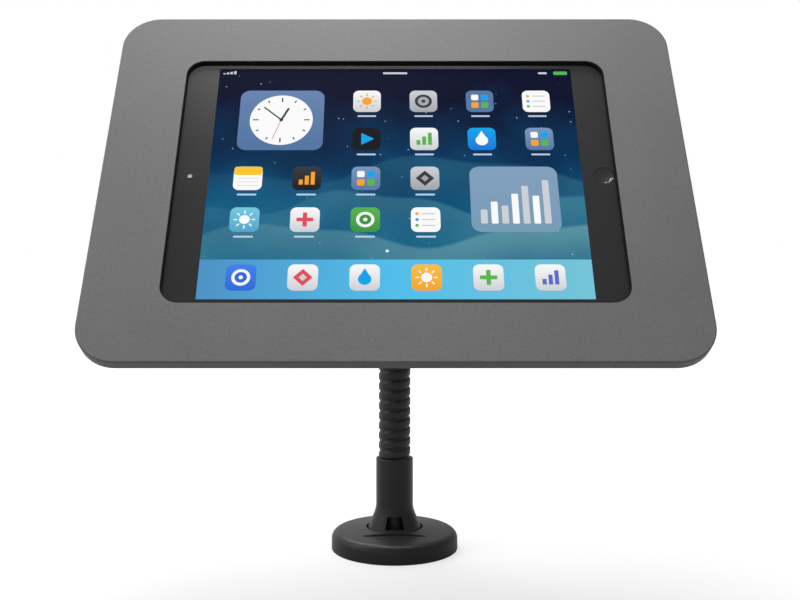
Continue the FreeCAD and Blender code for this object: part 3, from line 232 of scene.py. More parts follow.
def draw_neck_line():
    """The neck's centreline, straight up, round the bend and straight to the hub."""
    deselect()
    bpy.ops.curve.primitive_bezier_curve_add()
    line = bpy.context.object
    line.data.resolution_u = 128
    line.data.twist_mode = "MINIMUM"
    spline = line.data.splines[0]
    spline.bezier_points.add(2)
    upright, leant = Vector((0, 0, 1)), Vector((0, -math.sin(bend_angle), math.cos(bend_angle)))
    handle = 4 / 3 * math.tan(bend_angle / 4) * bend_radius
    places = (-socket_grip, neck_rise, neck_rise + bend_radius * bend_angle, neck_length + hub_grip)
    for point, distance, ahead, before, after in zip(
            spline.bezier_points, places, (upright, upright, leant, leant), (0.01, 0.01, handle, 0.01),
            (0.01, handle, 0.01, 0.01)):
        point.handle_left_type = point.handle_right_type = "FREE"
        point.co = neck_point(distance)
        point.handle_left = point.co - ahead * before
        point.handle_right = point.co + ahead * after
    return line


def wind_strip(name, low, high):
    """The strip between two distances along the neck, as a closed bar wound as a screw."""
    deselect()
    width, slope_end = strip_pitch - strip_seam, groove_half + slope_run
    profile = [(strip_bore, 0), (strip_groove, 0), (strip_groove, groove_half), (strip_ridge, slope_end),
               (strip_ridge, width - slope_end), (strip_groove, width - groove_half), (strip_groove, width),
               (strip_bore, width)]
    bpy.ops.mesh.primitive_circle_add(vertices=len(profile), fill_type="NOTHING")
    strip = bpy.context.object
    strip.name = name
    bpy.ops.object.mode_set(mode="EDIT")
    bpy.ops.mesh.select_mode(type="VERT")
    bpy.ops.mesh.select_all(action="DESELECT")
    bpy.ops.object.mode_set(mode="OBJECT")
    for vertex, (radius, height) in zip(strip.data.vertices, profile):
        vertex.co = (radius, 0, height)
        vertex.select = radius == strip_ridge
    bpy.ops.object.mode_set(mode="EDIT")
    bpy.ops.mesh.bevel(offset=strip_round, segments=round_steps, affect="VERTICES")
    bpy.ops.object.mode_set(mode="OBJECT")
    strip.location.z = low + socket_grip
    strip.rotation_euler.z = strip_start + math.tau * (low + socket_grip - end_gap) / strip_pitch
    bpy.ops.object.transform_apply(location=True, rotation=True, scale=False)
    turns = (high - low) / strip_pitch
    winding = strip.modifiers.new("wound", "SCREW")
    winding.angle = math.tau * turns
    winding.screw_offset = high - low
    winding.steps = winding.render_steps = round(turns * turn_steps)
    winding.use_smooth_shade = True
    bpy.ops.object.modifier_apply(modifier="wound")
    bpy.ops.object.mode_set(mode="EDIT")
    bpy.ops.mesh.select_all(action="SELECT")
    bpy.ops.mesh.fill_holes(sides=0)
    bpy.ops.mesh.normals_make_consistent(inside=False)
    bpy.ops.object.mode_set(mode="OBJECT")
    bent = strip.modifiers.new("bent", "CURVE")
    bent.object = neck_line
    bent.deform_axis = "POS_Z"
    bpy.ops.object.modifier_apply(modifier="bent")
    bpy.ops.object.shade_smooth_by_angle(angle=math.radians(50))
    return strip


neck_line = draw_neck_line()
coated_strip = finish("coated_strip", (0.029, 0.029, 0.0295), (0.0225, 0.0225, 0.023), 0.0005, (0.38, 0.48),
                      0.00001, specular=0.28)
# Lengths 3 and 5, which would be pulled out if bent from the body below them: their turning
# point is found far off along its axis when every joint stands at its limit. Every length is
# baked in place the same way and rides on no body.
bent_from_above = (3, 5)
for number, (below, above) in enumerate(zip(neck_bodies, neck_bodies[1:])):
    foot, top = number * joint_step, (number + 1) * joint_step
    low = end_gap - socket_grip if number == 0 else foot - strip_pitch / 2
    high = neck_length + hub_grip - end_gap - strip_pitch if above == "collar" else top - strip_pitch / 2
    strip = wind_strip(f"neck_winding_{number + 1}", low, high)
    strip.data.materials.append(coated_strip)
    if number + 1 in bent_from_above:
        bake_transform(strip)
    else:
        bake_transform(strip)
    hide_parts("neck_winding")
bpy.data.objects.remove(neck_line)

# Shade tube, a plain dark tube in the socket's cavity between the neck's bore and the spindle's.
# Extruded black rubber. It turns with the socket and closes the view through its windows, so that
# they show dark: painted shade, a dark piece standing in for the shade inside the cavity.
tube_low, tube_high, tube_radius, tube_wall = 0.004, 0.0271, 0.0049, 0.0014
deselect()
bpy.ops.mesh.primitive_cylinder_add(vertices=64, radius=tube_radius, depth=tube_high - tube_low,
                                    end_fill_type="NOTHING", location=(0, 0, (tube_low + tube_high) / 2))
shade_tube = bpy.context.object
shade_tube.name = "painted_shade_tube"
bpy.ops.object.transform_apply(location=True, rotation=False, scale=False)
walled = shade_tube.modifiers.new("walled", "SOLIDIFY")
walled.thickness = tube_wall
walled.offset = -1
bpy.ops.object.modifier_apply(modifier="walled")
bpy.ops.object.shade_smooth_by_angle(angle=math.radians(40))
shade_tube_rubber = finish("shade_tube_rubber", (0.05, 0.05, 0.05), (0.04, 0.04, 0.04), 0.0006, (0.5, 0.6), 0.00001)
shade_tube.data.materials.append(shade_tube_rubber)
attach(shade_tube, "socket")

# Swivel between neck and head: clamp bolt and nut, spring washer, friction disc, stop pin.
# Turned and stamped steel, zinc plated, with a disc of pressed fibre that gives the drag.
dress(zinc, "pivot_bolt", "pivot_nut", "spring_washer", "stop_pin")
fibre = finish("pressed_fibre", (0.16, 0.12, 0.08), (0.1, 0.075, 0.05), 0.0006, (0.75, 0.9), 0.00003,
               specular=0.2)
dress(fibre, "friction_disc")

# Rear tray and front cover, the two halves of the housing.
# Folded and welded sheet steel, powder coated mid grey with a fine even texture.
grey_powder = finish("grey_powder", (0.186, 0.186, 0.186), (0.145, 0.145, 0.146), 0.0009, (0.46, 0.56),
                     0.00005, specular=0.3)
dress(grey_powder, "rear_tray", "front_cover")

# Foam pad and corner bumpers that hold the tablet in the tray.
# Die cut closed cell foam, glued down.
foam = finish("black_foam", (0.03, 0.03, 0.031), (0.015, 0.015, 0.016), 0.0007, (0.85, 0.95), 0.00012,
              specular=0.2)
dress(foam, "tray_pad", *[f"corner_bumper_{number}" for number in range(1, 5)])

# Cam lock, hinge pins and arms, catch and their screws, all inside the housing.
# Die cast and stamped steel, nickel or zinc plated.
nickel = finish("nickel_plate", (0.62, 0.6, 0.56), (0.52, 0.5, 0.47), 0.0005, (0.14, 0.26), 0.000005,
                metallic=1.0)
dress(nickel, "lock_body", "lock_plug")
dress(zinc, "lock_nut", "lock_cam", "cam_screw", "hinge_pin_left", "hinge_pin_right", "hinge_arm_left",
      "hinge_arm_right", "hinge_screws", "cover_catch", "catch_screws")

# Tablet shell with the battery, board and home switch in it.
# Machined aluminium, blasted and anodised dark; foil wrapped cell; green laminate board.
anodised = finish("anodised_shell", (0.09, 0.09, 0.1), (0.07, 0.07, 0.075), 0.0003, (0.35, 0.42), 0.00001,
                  metallic=1.0)
dress(anodised, "tablet_shell")
foil = finish("battery_foil", (0.03, 0.03, 0.032), (0.02, 0.02, 0.021), 0.004, (0.3, 0.5), 0.00004)
dress(foil, "tablet_battery")
laminate = finish("board_laminate", (0.02, 0.1, 0.04), (0.01, 0.05, 0.02), 0.002, (0.35, 0.5), 0.00003)
dress(laminate, "tablet_board")
dress(black_plastic, "home_switch")

# Tablet front: cover glass, the front camera and the home button.
# Black backed glass with an etched sheen; the button is a dished disc of polished black.
front_glass = finish("front_glass", (0.0205, 0.0205, 0.0207), (0.0195, 0.0195, 0.0197), 0.02, (0.27, 0.29),
                     0.0, specular=0.06)
dress(front_glass, "tablet_glass", "tablet_display")
button_black = finish("button_black", (0.019, 0.019, 0.0192), (0.018, 0.018, 0.0182), 0.02, (0.1, 0.12), 0.0,
                      specular=0.3)
dress(button_black, "home_button")
camera_lens = finish("camera_lens", (0.62, 0.62, 0.62), (0.46, 0.46, 0.46), 0.0005, (0.2, 0.3), 0.000005,
                     specular=0.5)
dress(camera_lens, "tablet_camera")

head_lean = math.radians(90) - math.atan2(head_turn["axis"][2], -head_turn["axis"][1])
face_behind_hub = 0.0171
head_place = Vector(head_turn["pos_m"]) + Vector(head_turn["axis"]) * face_behind_hub
head_frame = Matrix.Translation(head_place) @ Matrix.Rotation(head_lean, 4, "X")

# Picture on the display, a home screen of the maker's own: a clock, a chart, plain tiles and
# a strip along the lower edge. Each shape is a film about a hundredth of a millimetre thick,
# lit from behind, on the glass.
screen_width, screen_height, screen_middle, glass_front = 0.1584, 0.1196, 0.0005, -0.003
film, film_step = 0.000012, 0.00002
films = []


def cut_film(width, height, place, level, tint, low_tint=None, corner=0.0, sides=4, turn=0.0):
    """A film of the picture, a rounded rectangle or a disc of many sides, tinted top to bottom."""
    deselect()
    where = (place[0], place[1] + screen_middle, glass_front + film_step * (level + 0.5))
    if sides == 4:
        bpy.ops.mesh.primitive_plane_add(size=1, location=where)
    else:
        bpy.ops.mesh.primitive_circle_add(radius=0.5, vertices=sides, fill_type="NGON", location=where)
    shape = bpy.context.object
    shape.scale = (width, height, 1)
    shape.rotation_euler.z = turn
    bpy.ops.object.transform_apply(location=True, rotation=True, scale=True)
    bpy.ops.object.mode_set(mode="EDIT")
    bpy.ops.mesh.select_all(action="SELECT")
    if corner:
        bpy.ops.mesh.bevel(offset=corner, segments=6, affect="VERTICES")
        bpy.ops.mesh.select_all(action="SELECT")
    bpy.ops.mesh.extrude_region_move(TRANSFORM_OT_translate={"value": (0, 0, film)})
    bpy.ops.mesh.select_all(action="SELECT")
    bpy.ops.mesh.normals_make_consistent(inside=False)
    bpy.ops.object.mode_set(mode="OBJECT")
    colours = shape.data.color_attributes.new("tint", "FLOAT_COLOR", "POINT")
    low = min(vertex.co.y for vertex in shape.data.vertices)
    high = max(vertex.co.y for vertex in shape.data.vertices)
    for vertex, colour in zip(shape.data.vertices, colours.data):
        share = (vertex.co.y - low) / (high - low)
        colour.color = (*[a * share + b * (1 - share) for a, b in zip(tint, low_tint or tint)], 1.0)
    films.append(shape)
    return shape


white, pale, ink = tone(250, 250, 250), tone(205, 208, 214), tone(60, 62, 66)
mist_blue, slate_blue = tone(122, 150, 190), tone(88, 120, 164)
sky, leaf, amber, rose, night = (tone(20, 165, 235), tone(90, 180, 80), tone(245, 165, 45), tone(225, 80, 90),
                                 tone(28, 30, 36))


def draw_mark(mark, u, v, colour, under):
    """A plain mark on a tile at u, v, in metres."""
    mm = 0.001
    if mark == "sun":
        cut_film(4.4 * mm, 4.4 * mm, (u, v), 4, colour, sides=24)
        for ray in range(8):
            angle = math.tau * ray / 8
            middle = (u + 3.7 * mm * math.cos(angle), v + 3.7 * mm * math.sin(angle))
            cut_film(1.5 * mm, 0.6 * mm, middle, 4, colour, turn=angle)
    elif mark == "bars":
        for index, height in enumerate((2.6, 4.6, 6.6)):
            middle = (u + (index - 1) * 2.5 * mm, v - (6.6 - height) / 2 * mm)
            cut_film(1.7 * mm, height * mm, middle, 4, colour)
    elif mark == "lines":
        for index, dot in enumerate((amber, sky, leaf)):
            cut_film(1.5 * mm, 1.5 * mm, (u - 3.6 * mm, v + (1 - index) * 2.9 * mm), 4, dot, sides=16)
            cut_film(5.6 * mm, 0.6 * mm, (u + 1.2 * mm, v + (1 - index) * 2.9 * mm), 4, colour)
    elif mark == "plus":
        cut_film(7.0 * mm, 1.8 * mm, (u, v), 4, colour, corner=0.4 * mm)
        cut_film(1.8 * mm, 7.0 * mm, (u, v), 5, colour, corner=0.4 * mm)
    elif mark == "ring":
        cut_film(7.6 * mm, 7.6 * mm, (u, v), 4, colour, sides=32)
        cut_film(5.0 * mm, 5.0 * mm, (u, v), 5, under, sides=32)
        cut_film(1.8 * mm, 1.8 * mm, (u, v), 6, colour, sides=16)
    elif mark == "arrow":
        cut_film(7.4 * mm, 7.4 * mm, (u - 0.4 * mm, v), 4, colour, sides=3, turn=math.radians(-90))
    elif mark == "four":
        for index, patch in enumerate((white, sky, amber, leaf)):
            middle = (u + (index % 2 - 0.5) * 4.3 * mm, v + (0.5 - index // 2) * 4.3 * mm)
            cut_film(3.2 * mm, 3.2 * mm, middle, 4, patch, corner=0.7 * mm)
    elif mark == "diamond":
        cut_film(5.6 * mm, 5.6 * mm, (u, v), 4, colour, turn=math.radians(45))
        cut_film(2.4 * mm, 2.4 * mm, (u, v), 5, under, turn=math.radians(45))
    elif mark == "halves":
        cut_film(12 * mm, 4.4 * mm, (u, v + 3.8 * mm), 4, colour, corner=1.2 * mm)
        for index in range(3):
            cut_film(9.0 * mm, 0.3 * mm, (u, v - index * 1.9 * mm), 4, pale)
    elif mark == "drop":
        cut_film(5.4 * mm, 5.4 * mm, (u, v - 0.8 * mm), 4, colour, sides=28)
        cut_film(4.7 * mm, 4.9 * mm, (u, v + 1.9 * mm), 5, colour, sides=3)


screen_grid_u = [-62.5, -37.5, -12.5, 12.5, 37.5, 62.5]
screen_grid_v = [41.0, 20.0, -1.0, -22.0]
tile, tile_corner = 0.0122, 0.0026
label_width, label_height, label_drop = 0.0082, 0.0009, 0.0084
# Tiles, as column, row, upper and lower tint, mark and the mark's colour.
home_tiles = [
    (2, 0, white, pale, "sun", amber), (3, 0, pale, tone(165, 168, 176), "ring", ink),
    (4, 0, slate_blue, slate_blue, "four", white), (5, 0, white, white, "lines", pale),
    (2, 1, night, night, "arrow", sky), (3, 1, white, pale, "bars", leaf),
    (4, 1, sky, tone(30, 120, 215), "drop", white), (5, 1, mist_blue, slate_blue, "four", white),
    (0, 2, white, white, "halves", tone(250, 200, 50)), (1, 2, tone(60, 60, 64), night, "bars", amber),
    (2, 2, mist_blue, slate_blue, "four", white), (3, 2, pale, tone(160, 164, 172), "diamond", ink),
    (0, 3, tone(120, 200, 225), tone(85, 165, 205), "sun", white), (1, 3, white, pale, "plus", rose),
    (2, 3, leaf, tone(60, 150, 70), "ring", white), (3, 3, white, white, "lines", pale)]
strip_tiles = [(tone(70, 130, 235), tone(50, 105, 220), "ring", white), (white, pale, "diamond", rose),
               (white, pale, "drop", sky), (tone(250, 190, 70), amber, "sun", white),
               (white, pale, "plus", leaf), (white, pale, "bars", tone(90, 110, 200))]
cut_film(screen_width, screen_height, (0, 0), 0, ink)
wallpaper = films.pop()
wallpaper.name = "screen_wallpaper"
for column, row, top_tint, low_tint, mark, colour in home_tiles:
    u, v = screen_grid_u[column] / 1000, screen_grid_v[row] / 1000
    cut_film(tile, tile, (u, v), 2, top_tint, low_tint, corner=tile_corner)
    cut_film(label_width, label_height, (u, v - label_drop), 2, tone(190, 205, 225), corner=0.0004)
    draw_mark(mark, u, v, colour, low_tint)
strip_height, strip_tile_step, strip_tile_lift = 0.0184, 0.0248, 0.0008
strip_v = (strip_height - screen_height) / 2
band = cut_film(screen_width, strip_height, (0, strip_v), 1, tone(82, 195, 236))
bpy.ops.object.mode_set(mode="EDIT")
bpy.ops.mesh.subdivide(number_cuts=3)
bpy.ops.object.mode_set(mode="OBJECT")
band_left, band_middle, band_right = tone(79, 145, 197), tone(82, 190, 234), tone(118, 196, 214)
for vertex, colour in zip(band.data.vertices, band.data.color_attributes["tint"].data):
    share = vertex.co.x / screen_width * 2
    side = band_right if share > 0 else band_left
    colour.color = (*[a * abs(share) + b * (1 - abs(share)) for a, b in zip(side, band_middle)], 1.0)
for index, (top_tint, low_tint, mark, colour) in enumerate(strip_tiles):
    u = (index - 2.5) * strip_tile_step
    cut_film(tile, tile, (u, strip_v + strip_tile_lift), 2, top_tint, low_tint, corner=tile_corner)
    draw_mark(mark, u, strip_v + strip_tile_lift, colour, low_tint)
panel_width, panel_height, panel_corner = 0.0372, 0.0332, 0.0042
clock_place = (-0.05, 0.0305)


def on_clock(reach, angle):
    """A place on the clock's dial, out from its middle."""
    return clock_place[0] + reach * math.cos(angle), clock_place[1] + reach * math.sin(angle)


cut_film(panel_width, panel_height, clock_place, 2, tone(104, 132, 176), tone(84, 116, 162),
         corner=panel_corner)
cut_film(0.0276, 0.0276, clock_place, 3, white, sides=64)
for hour in range(12):
    angle = math.tau * hour / 12
    length = 0.0024 if hour % 3 == 0 else 0.0013
    reach = 0.0124 - length / 2
    cut_film(length, 0.0006, on_clock(reach, angle), 4, ink, turn=angle)
for length, width, angle, colour, level in ((0.0072, 0.0010, 65, ink, 4), (0.0106, 0.0007, 138, ink, 5),
                                            (0.0112, 0.0003, 252, rose, 6)):
    angle = math.radians(angle)
    cut_film(length, width, on_clock(length / 2, angle), level, colour, turn=angle)
cut_film(0.0018, 0.0018, clock_place, 7, ink, sides=20)
chart_place = (0.05, -0.0115)
chart_foot, chart_bar, chart_step = 0.0125, 0.0028, 0.0044
cut_film(panel_width, panel_height, chart_place, 2, tone(132, 160, 190), tone(118, 156, 182),
         corner=panel_corner)
for index, height in enumerate((7, 11, 9, 15, 19, 14, 22)):
    middle = (chart_place[0] + (index - 3) * chart_step, chart_place[1] - chart_foot + height / 2000)
    cut_film(chart_bar, height / 1000, middle, 3, white if index % 2 else pale, corner=0.0005)
for index in range(5):
    cut_film(0.0013, 0.0013, ((index - 2) * 0.0034, -0.0373), 2, white if index == 1 else slate_blue,
             sides=16)
for index in range(4):
    cut_film(0.0011, 0.0006 + 0.0004 * index, (-0.077 + index * 0.0016, 0.0570 + 0.0002 * index), 2, pale)
cut_film(0.0110, 0.0011, (0, 0.0573), 2, pale, corner=0.0005)
cut_film(0.0062, 0.0020, (0.0745, 0.0573), 2, leaf, corner=0.0006)
cut_film(0.0040, 0.0011, (0.0665, 0.0573), 2, pale, corner=0.0005)


def lit_material(name):
    """A film lit from behind, that hardly mirrors the room."""
    material = bpy.data.materials.new(name)
    material.use_nodes = True
    shader = material.node_tree.nodes["Principled BSDF"]
    shader.inputs["Base Color"].default_value = (0.0, 0.0, 0.0, 1.0)
    shader.inputs["Roughness"].default_value = 0.3
    shader.inputs["Specular IOR Level"].default_value = 0.01
    shader.inputs["Emission Strength"].default_value = 1.0
    return material, material.node_tree, shader


tinted_film, tree, shader = lit_material("tinted_film")
tint = add_node(tree, "ShaderNodeVertexColor", layer_name="tint")
tree.links.new(tint.outputs["Color"], shader.inputs["Emission Color"])


def mist_group():
    """A bank of mist below a rolling crest: brightest at the crest, fading downwards."""
    tree = bpy.data.node_groups.new("mist_bank", "ShaderNodeTree")
    given, made = group_sockets(tree, {"Across": "F", "Up": "F", "Crest": "F", "Roll": "F", "Waves": "F",
                                       "Shift": "F", "Depth": "F"}, {"Mask": "F"})

    def sums(operation, first, second):
        """The result of a maths node on two sockets or numbers."""
        node = add_node(tree, "ShaderNodeMath", operation=operation)
        for socket, value in zip(node.inputs, (first, second)):
            if isinstance(value, (int, float)):
                socket.default_value = value
            elif value is not None:
                tree.links.new(value, socket)
        return node.outputs[0]

    waves = sums("MULTIPLY", given.outputs["Across"], given.outputs["Waves"])
    phase = sums("ADD", waves, given.outputs["Shift"])
    swell = sums("ADD", sums("SINE", phase, None),
                 sums("MULTIPLY", sums("SINE", sums("MULTIPLY", phase, 2.3), None), 0.35))
    crest = sums("ADD", given.outputs["Crest"], sums("MULTIPLY", swell, given.outputs["Roll"]))
    below = sums("SUBTRACT", crest, given.outputs["Up"])
    fade = add_node(tree, "ShaderNodeMapRange", interpolation_type="SMOOTHSTEP")
    tree.links.new(below, fade.inputs["Value"])
    tree.links.new(given.outputs["Depth"], fade.inputs["From Max"])
    fade.inputs["To Min"].default_value = 1.0
    fade.inputs["To Max"].default_value = 0.0
    edge = add_node(tree, "ShaderNodeMapRange", interpolation_type="SMOOTHSTEP")
    tree.links.new(below, edge.inputs["Value"])
    edge.inputs["From Min"].default_value = -0.0012
    edge.inputs["From Max"].default_value = 0.0008
    tree.links.new(sums("MULTIPLY", fade.outputs["Result"], edge.outputs["Result"]), made.inputs["Mask"])
    return tree


def wallpaper_material():
    """Night blue above, teal below, with three banks of mist and a few motes of light."""
    material, tree, shader = lit_material("wallpaper_film")
    place = add_node(tree, "ShaderNodeTexCoord")
    on_face = add_node(tree, "ShaderNodeMapping", vector_type="TEXTURE")
    on_face.inputs["Location"].default_value = head_place
    on_face.inputs["Rotation"].default_value = (head_lean, 0, 0)
    tree.links.new(place.outputs["Object"], on_face.inputs["Vector"])
    axes = add_node(tree, "ShaderNodeSeparateXYZ")
    tree.links.new(on_face.outputs["Vector"], axes.inputs["Vector"])
    across, up = axes.outputs["X"], axes.outputs["Y"]
    height = add_node(tree, "ShaderNodeMapRange")
    height.inputs["From Min"].default_value = screen_middle - screen_height / 2
    height.inputs["From Max"].default_value = screen_middle + screen_height / 2
    tree.links.new(up, height.inputs["Value"])
    clouds = add_node(tree, "ShaderNodeTexNoise")
    clouds.inputs["Scale"].default_value = 26.0
    clouds.inputs["Detail"].default_value = 4.0
    tree.links.new(on_face.outputs["Vector"], clouds.inputs["Vector"])
    drift = add_node(tree, "ShaderNodeMapRange")
    drift.inputs["To Min"].default_value = -0.28
    drift.inputs["To Max"].default_value = 0.28
    tree.links.new(clouds.outputs["Fac"], drift.inputs["Value"])
    level = add_node(tree, "ShaderNodeMath", operation="ADD")
    tree.links.new(height.outputs["Result"], level.inputs[0])
    tree.links.new(drift.outputs["Result"], level.inputs[1])
    sky_ramp = add_node(tree, "ShaderNodeValToRGB")
    stops = ((0.1, tone(38, 112, 142)), (0.36, tone(14, 84, 124)), (0.58, tone(12, 52, 88)),
             (0.86, tone(15, 20, 46)))
    for _ in stops[2:]:
        sky_ramp.color_ramp.elements.new(0.5)
    for element, (place_on_ramp, colour) in zip(sky_ramp.color_ramp.elements, stops):
        element.position = place_on_ramp
        element.color = (*colour, 1.0)
    tree.links.new(level.outputs[0], sky_ramp.inputs["Fac"])
    picture = sky_ramp.outputs["Color"]
    banks = ((0.004, 0.0065, 46.0, 0.6, 0.032, 0.22, tone(70, 140, 165)),
             (-0.013, 0.0055, 61.0, 2.4, 0.026, 0.34, tone(88, 158, 172)),
             (-0.029, 0.0050, 52.0, 4.1, 0.024, 0.45, tone(120, 178, 182)))
    for crest, roll, waves, shift, depth, strength, colour in banks:
        bank = add_node(tree, "ShaderNodeGroup", node_tree=mist)
        tree.links.new(across, bank.inputs["Across"])
        tree.links.new(up, bank.inputs["Up"])
        for name, value in (("Crest", crest), ("Roll", roll), ("Waves", waves), ("Shift", shift),
                            ("Depth", depth)):
            bank.inputs[name].default_value = value
        to_right = add_node(tree, "ShaderNodeMapRange")
        to_right.inputs["From Min"].default_value = -0.09
        to_right.inputs["From Max"].default_value = 0.06
        to_right.inputs["To Min"].default_value = strength * 0.25
        to_right.inputs["To Max"].default_value = strength
        tree.links.new(across, to_right.inputs["Value"])
        share = add_node(tree, "ShaderNodeMath", operation="MULTIPLY")
        tree.links.new(bank.outputs["Mask"], share.inputs[0])
        tree.links.new(to_right.outputs["Result"], share.inputs[1])
        over = add_node(tree, "ShaderNodeMix", data_type="RGBA")
        tree.links.new(share.outputs[0], over.inputs["Factor"])
        tree.links.new(picture, over.inputs["A"])
        over.inputs["B"].default_value = (*colour, 1.0)
        picture = over.outputs["Result"]
    cells = add_node(tree, "ShaderNodeTexVoronoi")
    cells.inputs["Scale"].default_value = 170.0
    tree.links.new(on_face.outputs["Vector"], cells.inputs["Vector"])
    mote = add_node(tree, "ShaderNodeMapRange")
    mote.inputs["From Min"].default_value = 0.03
    mote.inputs["From Max"].default_value = 0.075
    mote.inputs["To Min"].default_value = 0.55
    mote.inputs["To Max"].default_value = 0.0
    tree.links.new(cells.outputs["Distance"], mote.inputs["Value"])
    with_motes = add_node(tree, "ShaderNodeMix", data_type="RGBA")
    tree.links.new(mote.outputs["Result"], with_motes.inputs["Factor"])
    tree.links.new(picture, with_motes.inputs["A"])
    with_motes.inputs["B"].default_value = (*tone(190, 225, 240), 1.0)
    tree.links.new(with_motes.outputs["Result"], shader.inputs["Emission Color"])
    return material


mist = mist_group()
deselect()
for shape in films:
    shape.select_set(True)
bpy.context.view_layer.objects.active = films[0]
bpy.ops.object.join()
picture = bpy.context.object
picture.name = "screen_picture"
for piece, material in ((wallpaper, wallpaper_material()), (picture, tinted_film)):
    piece.data.materials.clear()
    piece.data.materials.append(material)
    piece.data.transform(head_frame)
    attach(piece, "head")

# Window liner, the black frame that lines the window and backs its edge.
# Moulded in matt black plastic and glued behind the cover.
matt_black = finish("matt_black_plastic", (0.018, 0.018, 0.018), (0.014, 0.014, 0.014), 0.0005, (0.85, 0.95),
                    0.00001, specular=0.05)
dress(matt_black, "window_liner")

# Floor, lights and camera. The floor is a pale sweep, the light soft, mostly from above.
deselect()
bpy.ops.mesh.primitive_plane_add(size=12)
floor = bpy.context.object
floor.name = "floor"


def ray_mask(tree, *kinds):
    """1 for rays of the kinds named."""
    rays = add_node(tree, "ShaderNodeLightPath")
    mask = rays.outputs[kinds[0]]
    for kind in kinds[1:]:
        either = add_node(tree, "ShaderNodeMath", operation="MAXIMUM")
        tree.links.new(mask, either.inputs[0])
        tree.links.new(rays.outputs[kind], either.inputs[1])
        mask = either.outputs[0]
    return mask


floor_paint = bpy.data.materials.new("floor_paint")
floor_paint.use_nodes = True
tree = floor_paint.node_tree
tree.nodes.clear()
place = add_node(tree, "ShaderNodeTexCoord")
apart = add_node(tree, "ShaderNodeVectorMath", operation="LENGTH")
tree.links.new(place.outputs["Object"], apart.inputs[0])
far_white = add_node(tree, "ShaderNodeMapRange", interpolation_type="SMOOTHSTEP")
far_white.inputs["From Min"].default_value = 0.05
far_white.inputs["From Max"].default_value = 0.8
far_white.inputs["To Min"].default_value = 0.56
far_white.inputs["To Max"].default_value = 0.95
tree.links.new(apart.outputs["Value"], far_white.inputs["Value"])
# For mirrored rays the floor's glow is dimmed close to the base, centred a little to its right: painted shade
# that stands in for the base's shadow on the floor, seen in the base's reflections.
painted_shade_reach = add_node(tree, "ShaderNodeVectorMath", operation="DISTANCE")
painted_shade_reach.inputs[1].default_value = (0.015, 0.0, 0.0)
tree.links.new(place.outputs["Object"], painted_shade_reach.inputs[0])
mirrored = add_node(tree, "ShaderNodeMapRange")
mirrored.inputs["From Min"].default_value = 0.015
mirrored.inputs["From Max"].default_value = 0.1
mirrored.inputs["To Min"].default_value = 0.2
tree.links.new(painted_shade_reach.outputs["Value"], mirrored.inputs["Value"])
shown = add_node(tree, "ShaderNodeMix", data_type="FLOAT")
tree.links.new(ray_mask(tree, "Is Camera Ray", "Is Transmission Ray"), shown.inputs["A"])
tree.links.new(mirrored.outputs["Result"], shown.inputs["B"])
tree.links.new(ray_mask(tree, "Is Glossy Ray"), shown.inputs["Factor"])
strength = add_node(tree, "ShaderNodeMath", operation="MULTIPLY")
tree.links.new(shown.outputs["Result"], strength.inputs[0])
tree.links.new(far_white.outputs["Result"], strength.inputs[1])
lift = add_node(tree, "ShaderNodeEmission")
tree.links.new(strength.outputs[0], lift.inputs["Strength"])
paint_tone = add_node(tree, "ShaderNodeMix", data_type="RGBA")
paint_tone.inputs["A"].default_value = (0.22, 0.22, 0.22, 1)
paint_tone.inputs["B"].default_value = (0.42, 0.42, 0.42, 1)
tree.links.new(ray_mask(tree, "Is Camera Ray"), paint_tone.inputs["Factor"])
paint = add_node(tree, "ShaderNodeBsdfDiffuse")
tree.links.new(paint_tone.outputs["Result"], paint.inputs["Color"])
both = add_node(tree, "ShaderNodeAddShader")
made = add_node(tree, "ShaderNodeOutputMaterial")
tree.links.new(paint.outputs[0], both.inputs[0])
tree.links.new(lift.outputs[0], both.inputs[1])
tree.links.new(both.outputs[0], made.inputs["Surface"])
floor.data.materials.append(floor_paint)

world = bpy.data.worlds.new("studio")
world.use_nodes = True
bpy.context.scene.world = world
tree = world.node_tree
tree.nodes.clear()
sky_place = add_node(tree, "ShaderNodeTexCoord")
sky_axes = add_node(tree, "ShaderNodeSeparateXYZ")
tree.links.new(sky_place.outputs["Generated"], sky_axes.inputs["Vector"])
sky_parts = []
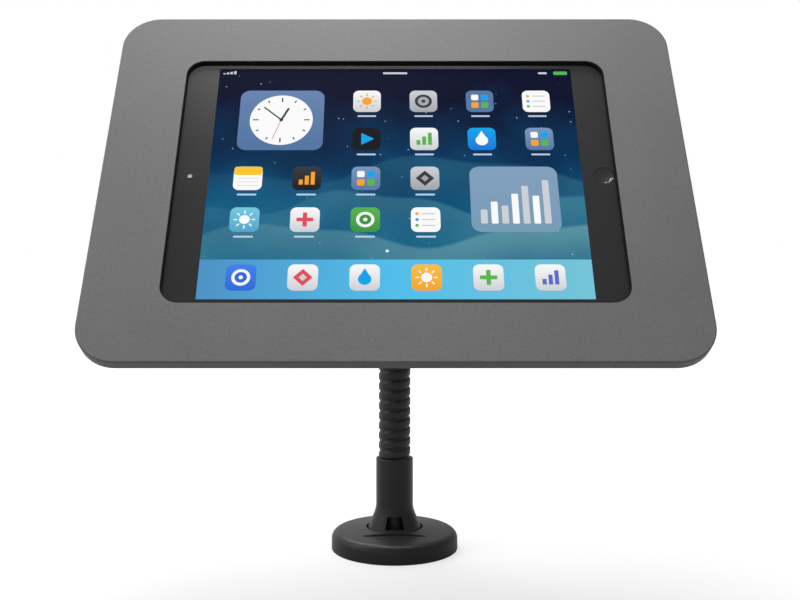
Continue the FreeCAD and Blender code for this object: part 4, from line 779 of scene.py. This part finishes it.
# What the sky gives to plain rays, to mirrored ones and to the camera.
for axis, reach, at_minus, at_plus in (("Y", 1.0, 0.5, 0.12), ("X", 0.6, 0.8, 0.28), (None, 1.0, 1.0, 1.0)):
    part = add_node(tree, "ShaderNodeBackground")
    part.inputs["Color"].default_value = (1, 1, 1, 1)
    if axis:
        fall = add_node(tree, "ShaderNodeMapRange", interpolation_type="SMOOTHSTEP")
        fall.inputs["From Min"].default_value = -reach
        fall.inputs["From Max"].default_value = reach
        fall.inputs["To Min"].default_value = at_minus
        fall.inputs["To Max"].default_value = at_plus
        tree.links.new(sky_axes.outputs[axis], fall.inputs["Value"])
        tree.links.new(fall.outputs["Result"], part.inputs["Strength"])
    sky_parts.append(part.outputs[0])
sky = sky_parts[0]
for kinds, part in ((("Is Glossy Ray",), sky_parts[1]),
                    (("Is Camera Ray", "Is Transmission Ray"), sky_parts[2])):
    pick = add_node(tree, "ShaderNodeMixShader")
    tree.links.new(ray_mask(tree, *kinds), pick.inputs[0])
    tree.links.new(sky, pick.inputs[1])
    tree.links.new(part, pick.inputs[2])
    sky = pick.outputs[0]
made = add_node(tree, "ShaderNodeOutputWorld")
tree.links.new(sky, made.inputs["Surface"])


def softbox(name, place, aim, width, height, power):
    """A rectangular studio light."""
    bpy.ops.object.light_add(type="AREA", location=place)
    lamp = bpy.context.object
    lamp.name = name
    lamp.data.shape = "RECTANGLE"
    lamp.data.size = width
    lamp.data.size_y = height
    lamp.data.energy = power
    lamp.rotation_euler = (Vector(aim) - Vector(place)).to_track_quat("-Z", "Y").to_euler()
    return lamp


softbox("top_light", (-0.04, -0.03, 0.9), (0, -0.08, 0.15), 0.5, 0.4, 5.8)
softbox("left_light", (-0.75, -0.1, 0.6), (0, 0, 0.1), 0.4, 0.4, 1.6)
softbox("back_light", (-0.3, 0.55, 0.85), (0, 0, 0), 0.45, 0.4, 3.0)

# The tablet's glass has small lights of its own that the edge of the window doesn't shade: a
# strip for the sheen along its top, a weak fill and one for the rim of the home button.
glass_only = bpy.data.collections.new("glass_only")
for name in ("tablet_glass", "tablet_display", "home_button"):
    glass_only.objects.link(nodes[name])
for lamp in (softbox("sheen_light", (-0.075, -0.25, 0.91), (-0.042, -0.066, 0.238), 0.4, 0.04, 2.3),
             softbox("glass_light", (0.0, -0.9, 0.35), (0, -0.1, 0.19), 0.5, 0.5, 2.0),
             softbox("button_light", (0.15, -0.165, 0.89), (0.089, -0.1, 0.189), 0.26, 0.1, 0.6)):
    lamp.data.cycles.use_multiple_importance_sampling = False
    lamp.light_linking.receiver_collection = glass_only
    lamp.light_linking.blocker_collection = glass_only

camera_place, camera_tilt = (-0.0018, -0.533, 0.15545), 87.32
picture_width_mm, lens_mm, lens_shift = 36, 45.95, 0.01106
bpy.ops.object.camera_add(location=camera_place, rotation=(math.radians(camera_tilt), 0, 0))
camera = bpy.context.object
camera.data.sensor_width = picture_width_mm
camera.data.lens = lens_mm
camera.data.shift_x = lens_shift
camera.data.clip_start = 0.01
bpy.context.scene.camera = camera
bpy.context.scene.view_settings.view_transform = "Standard"
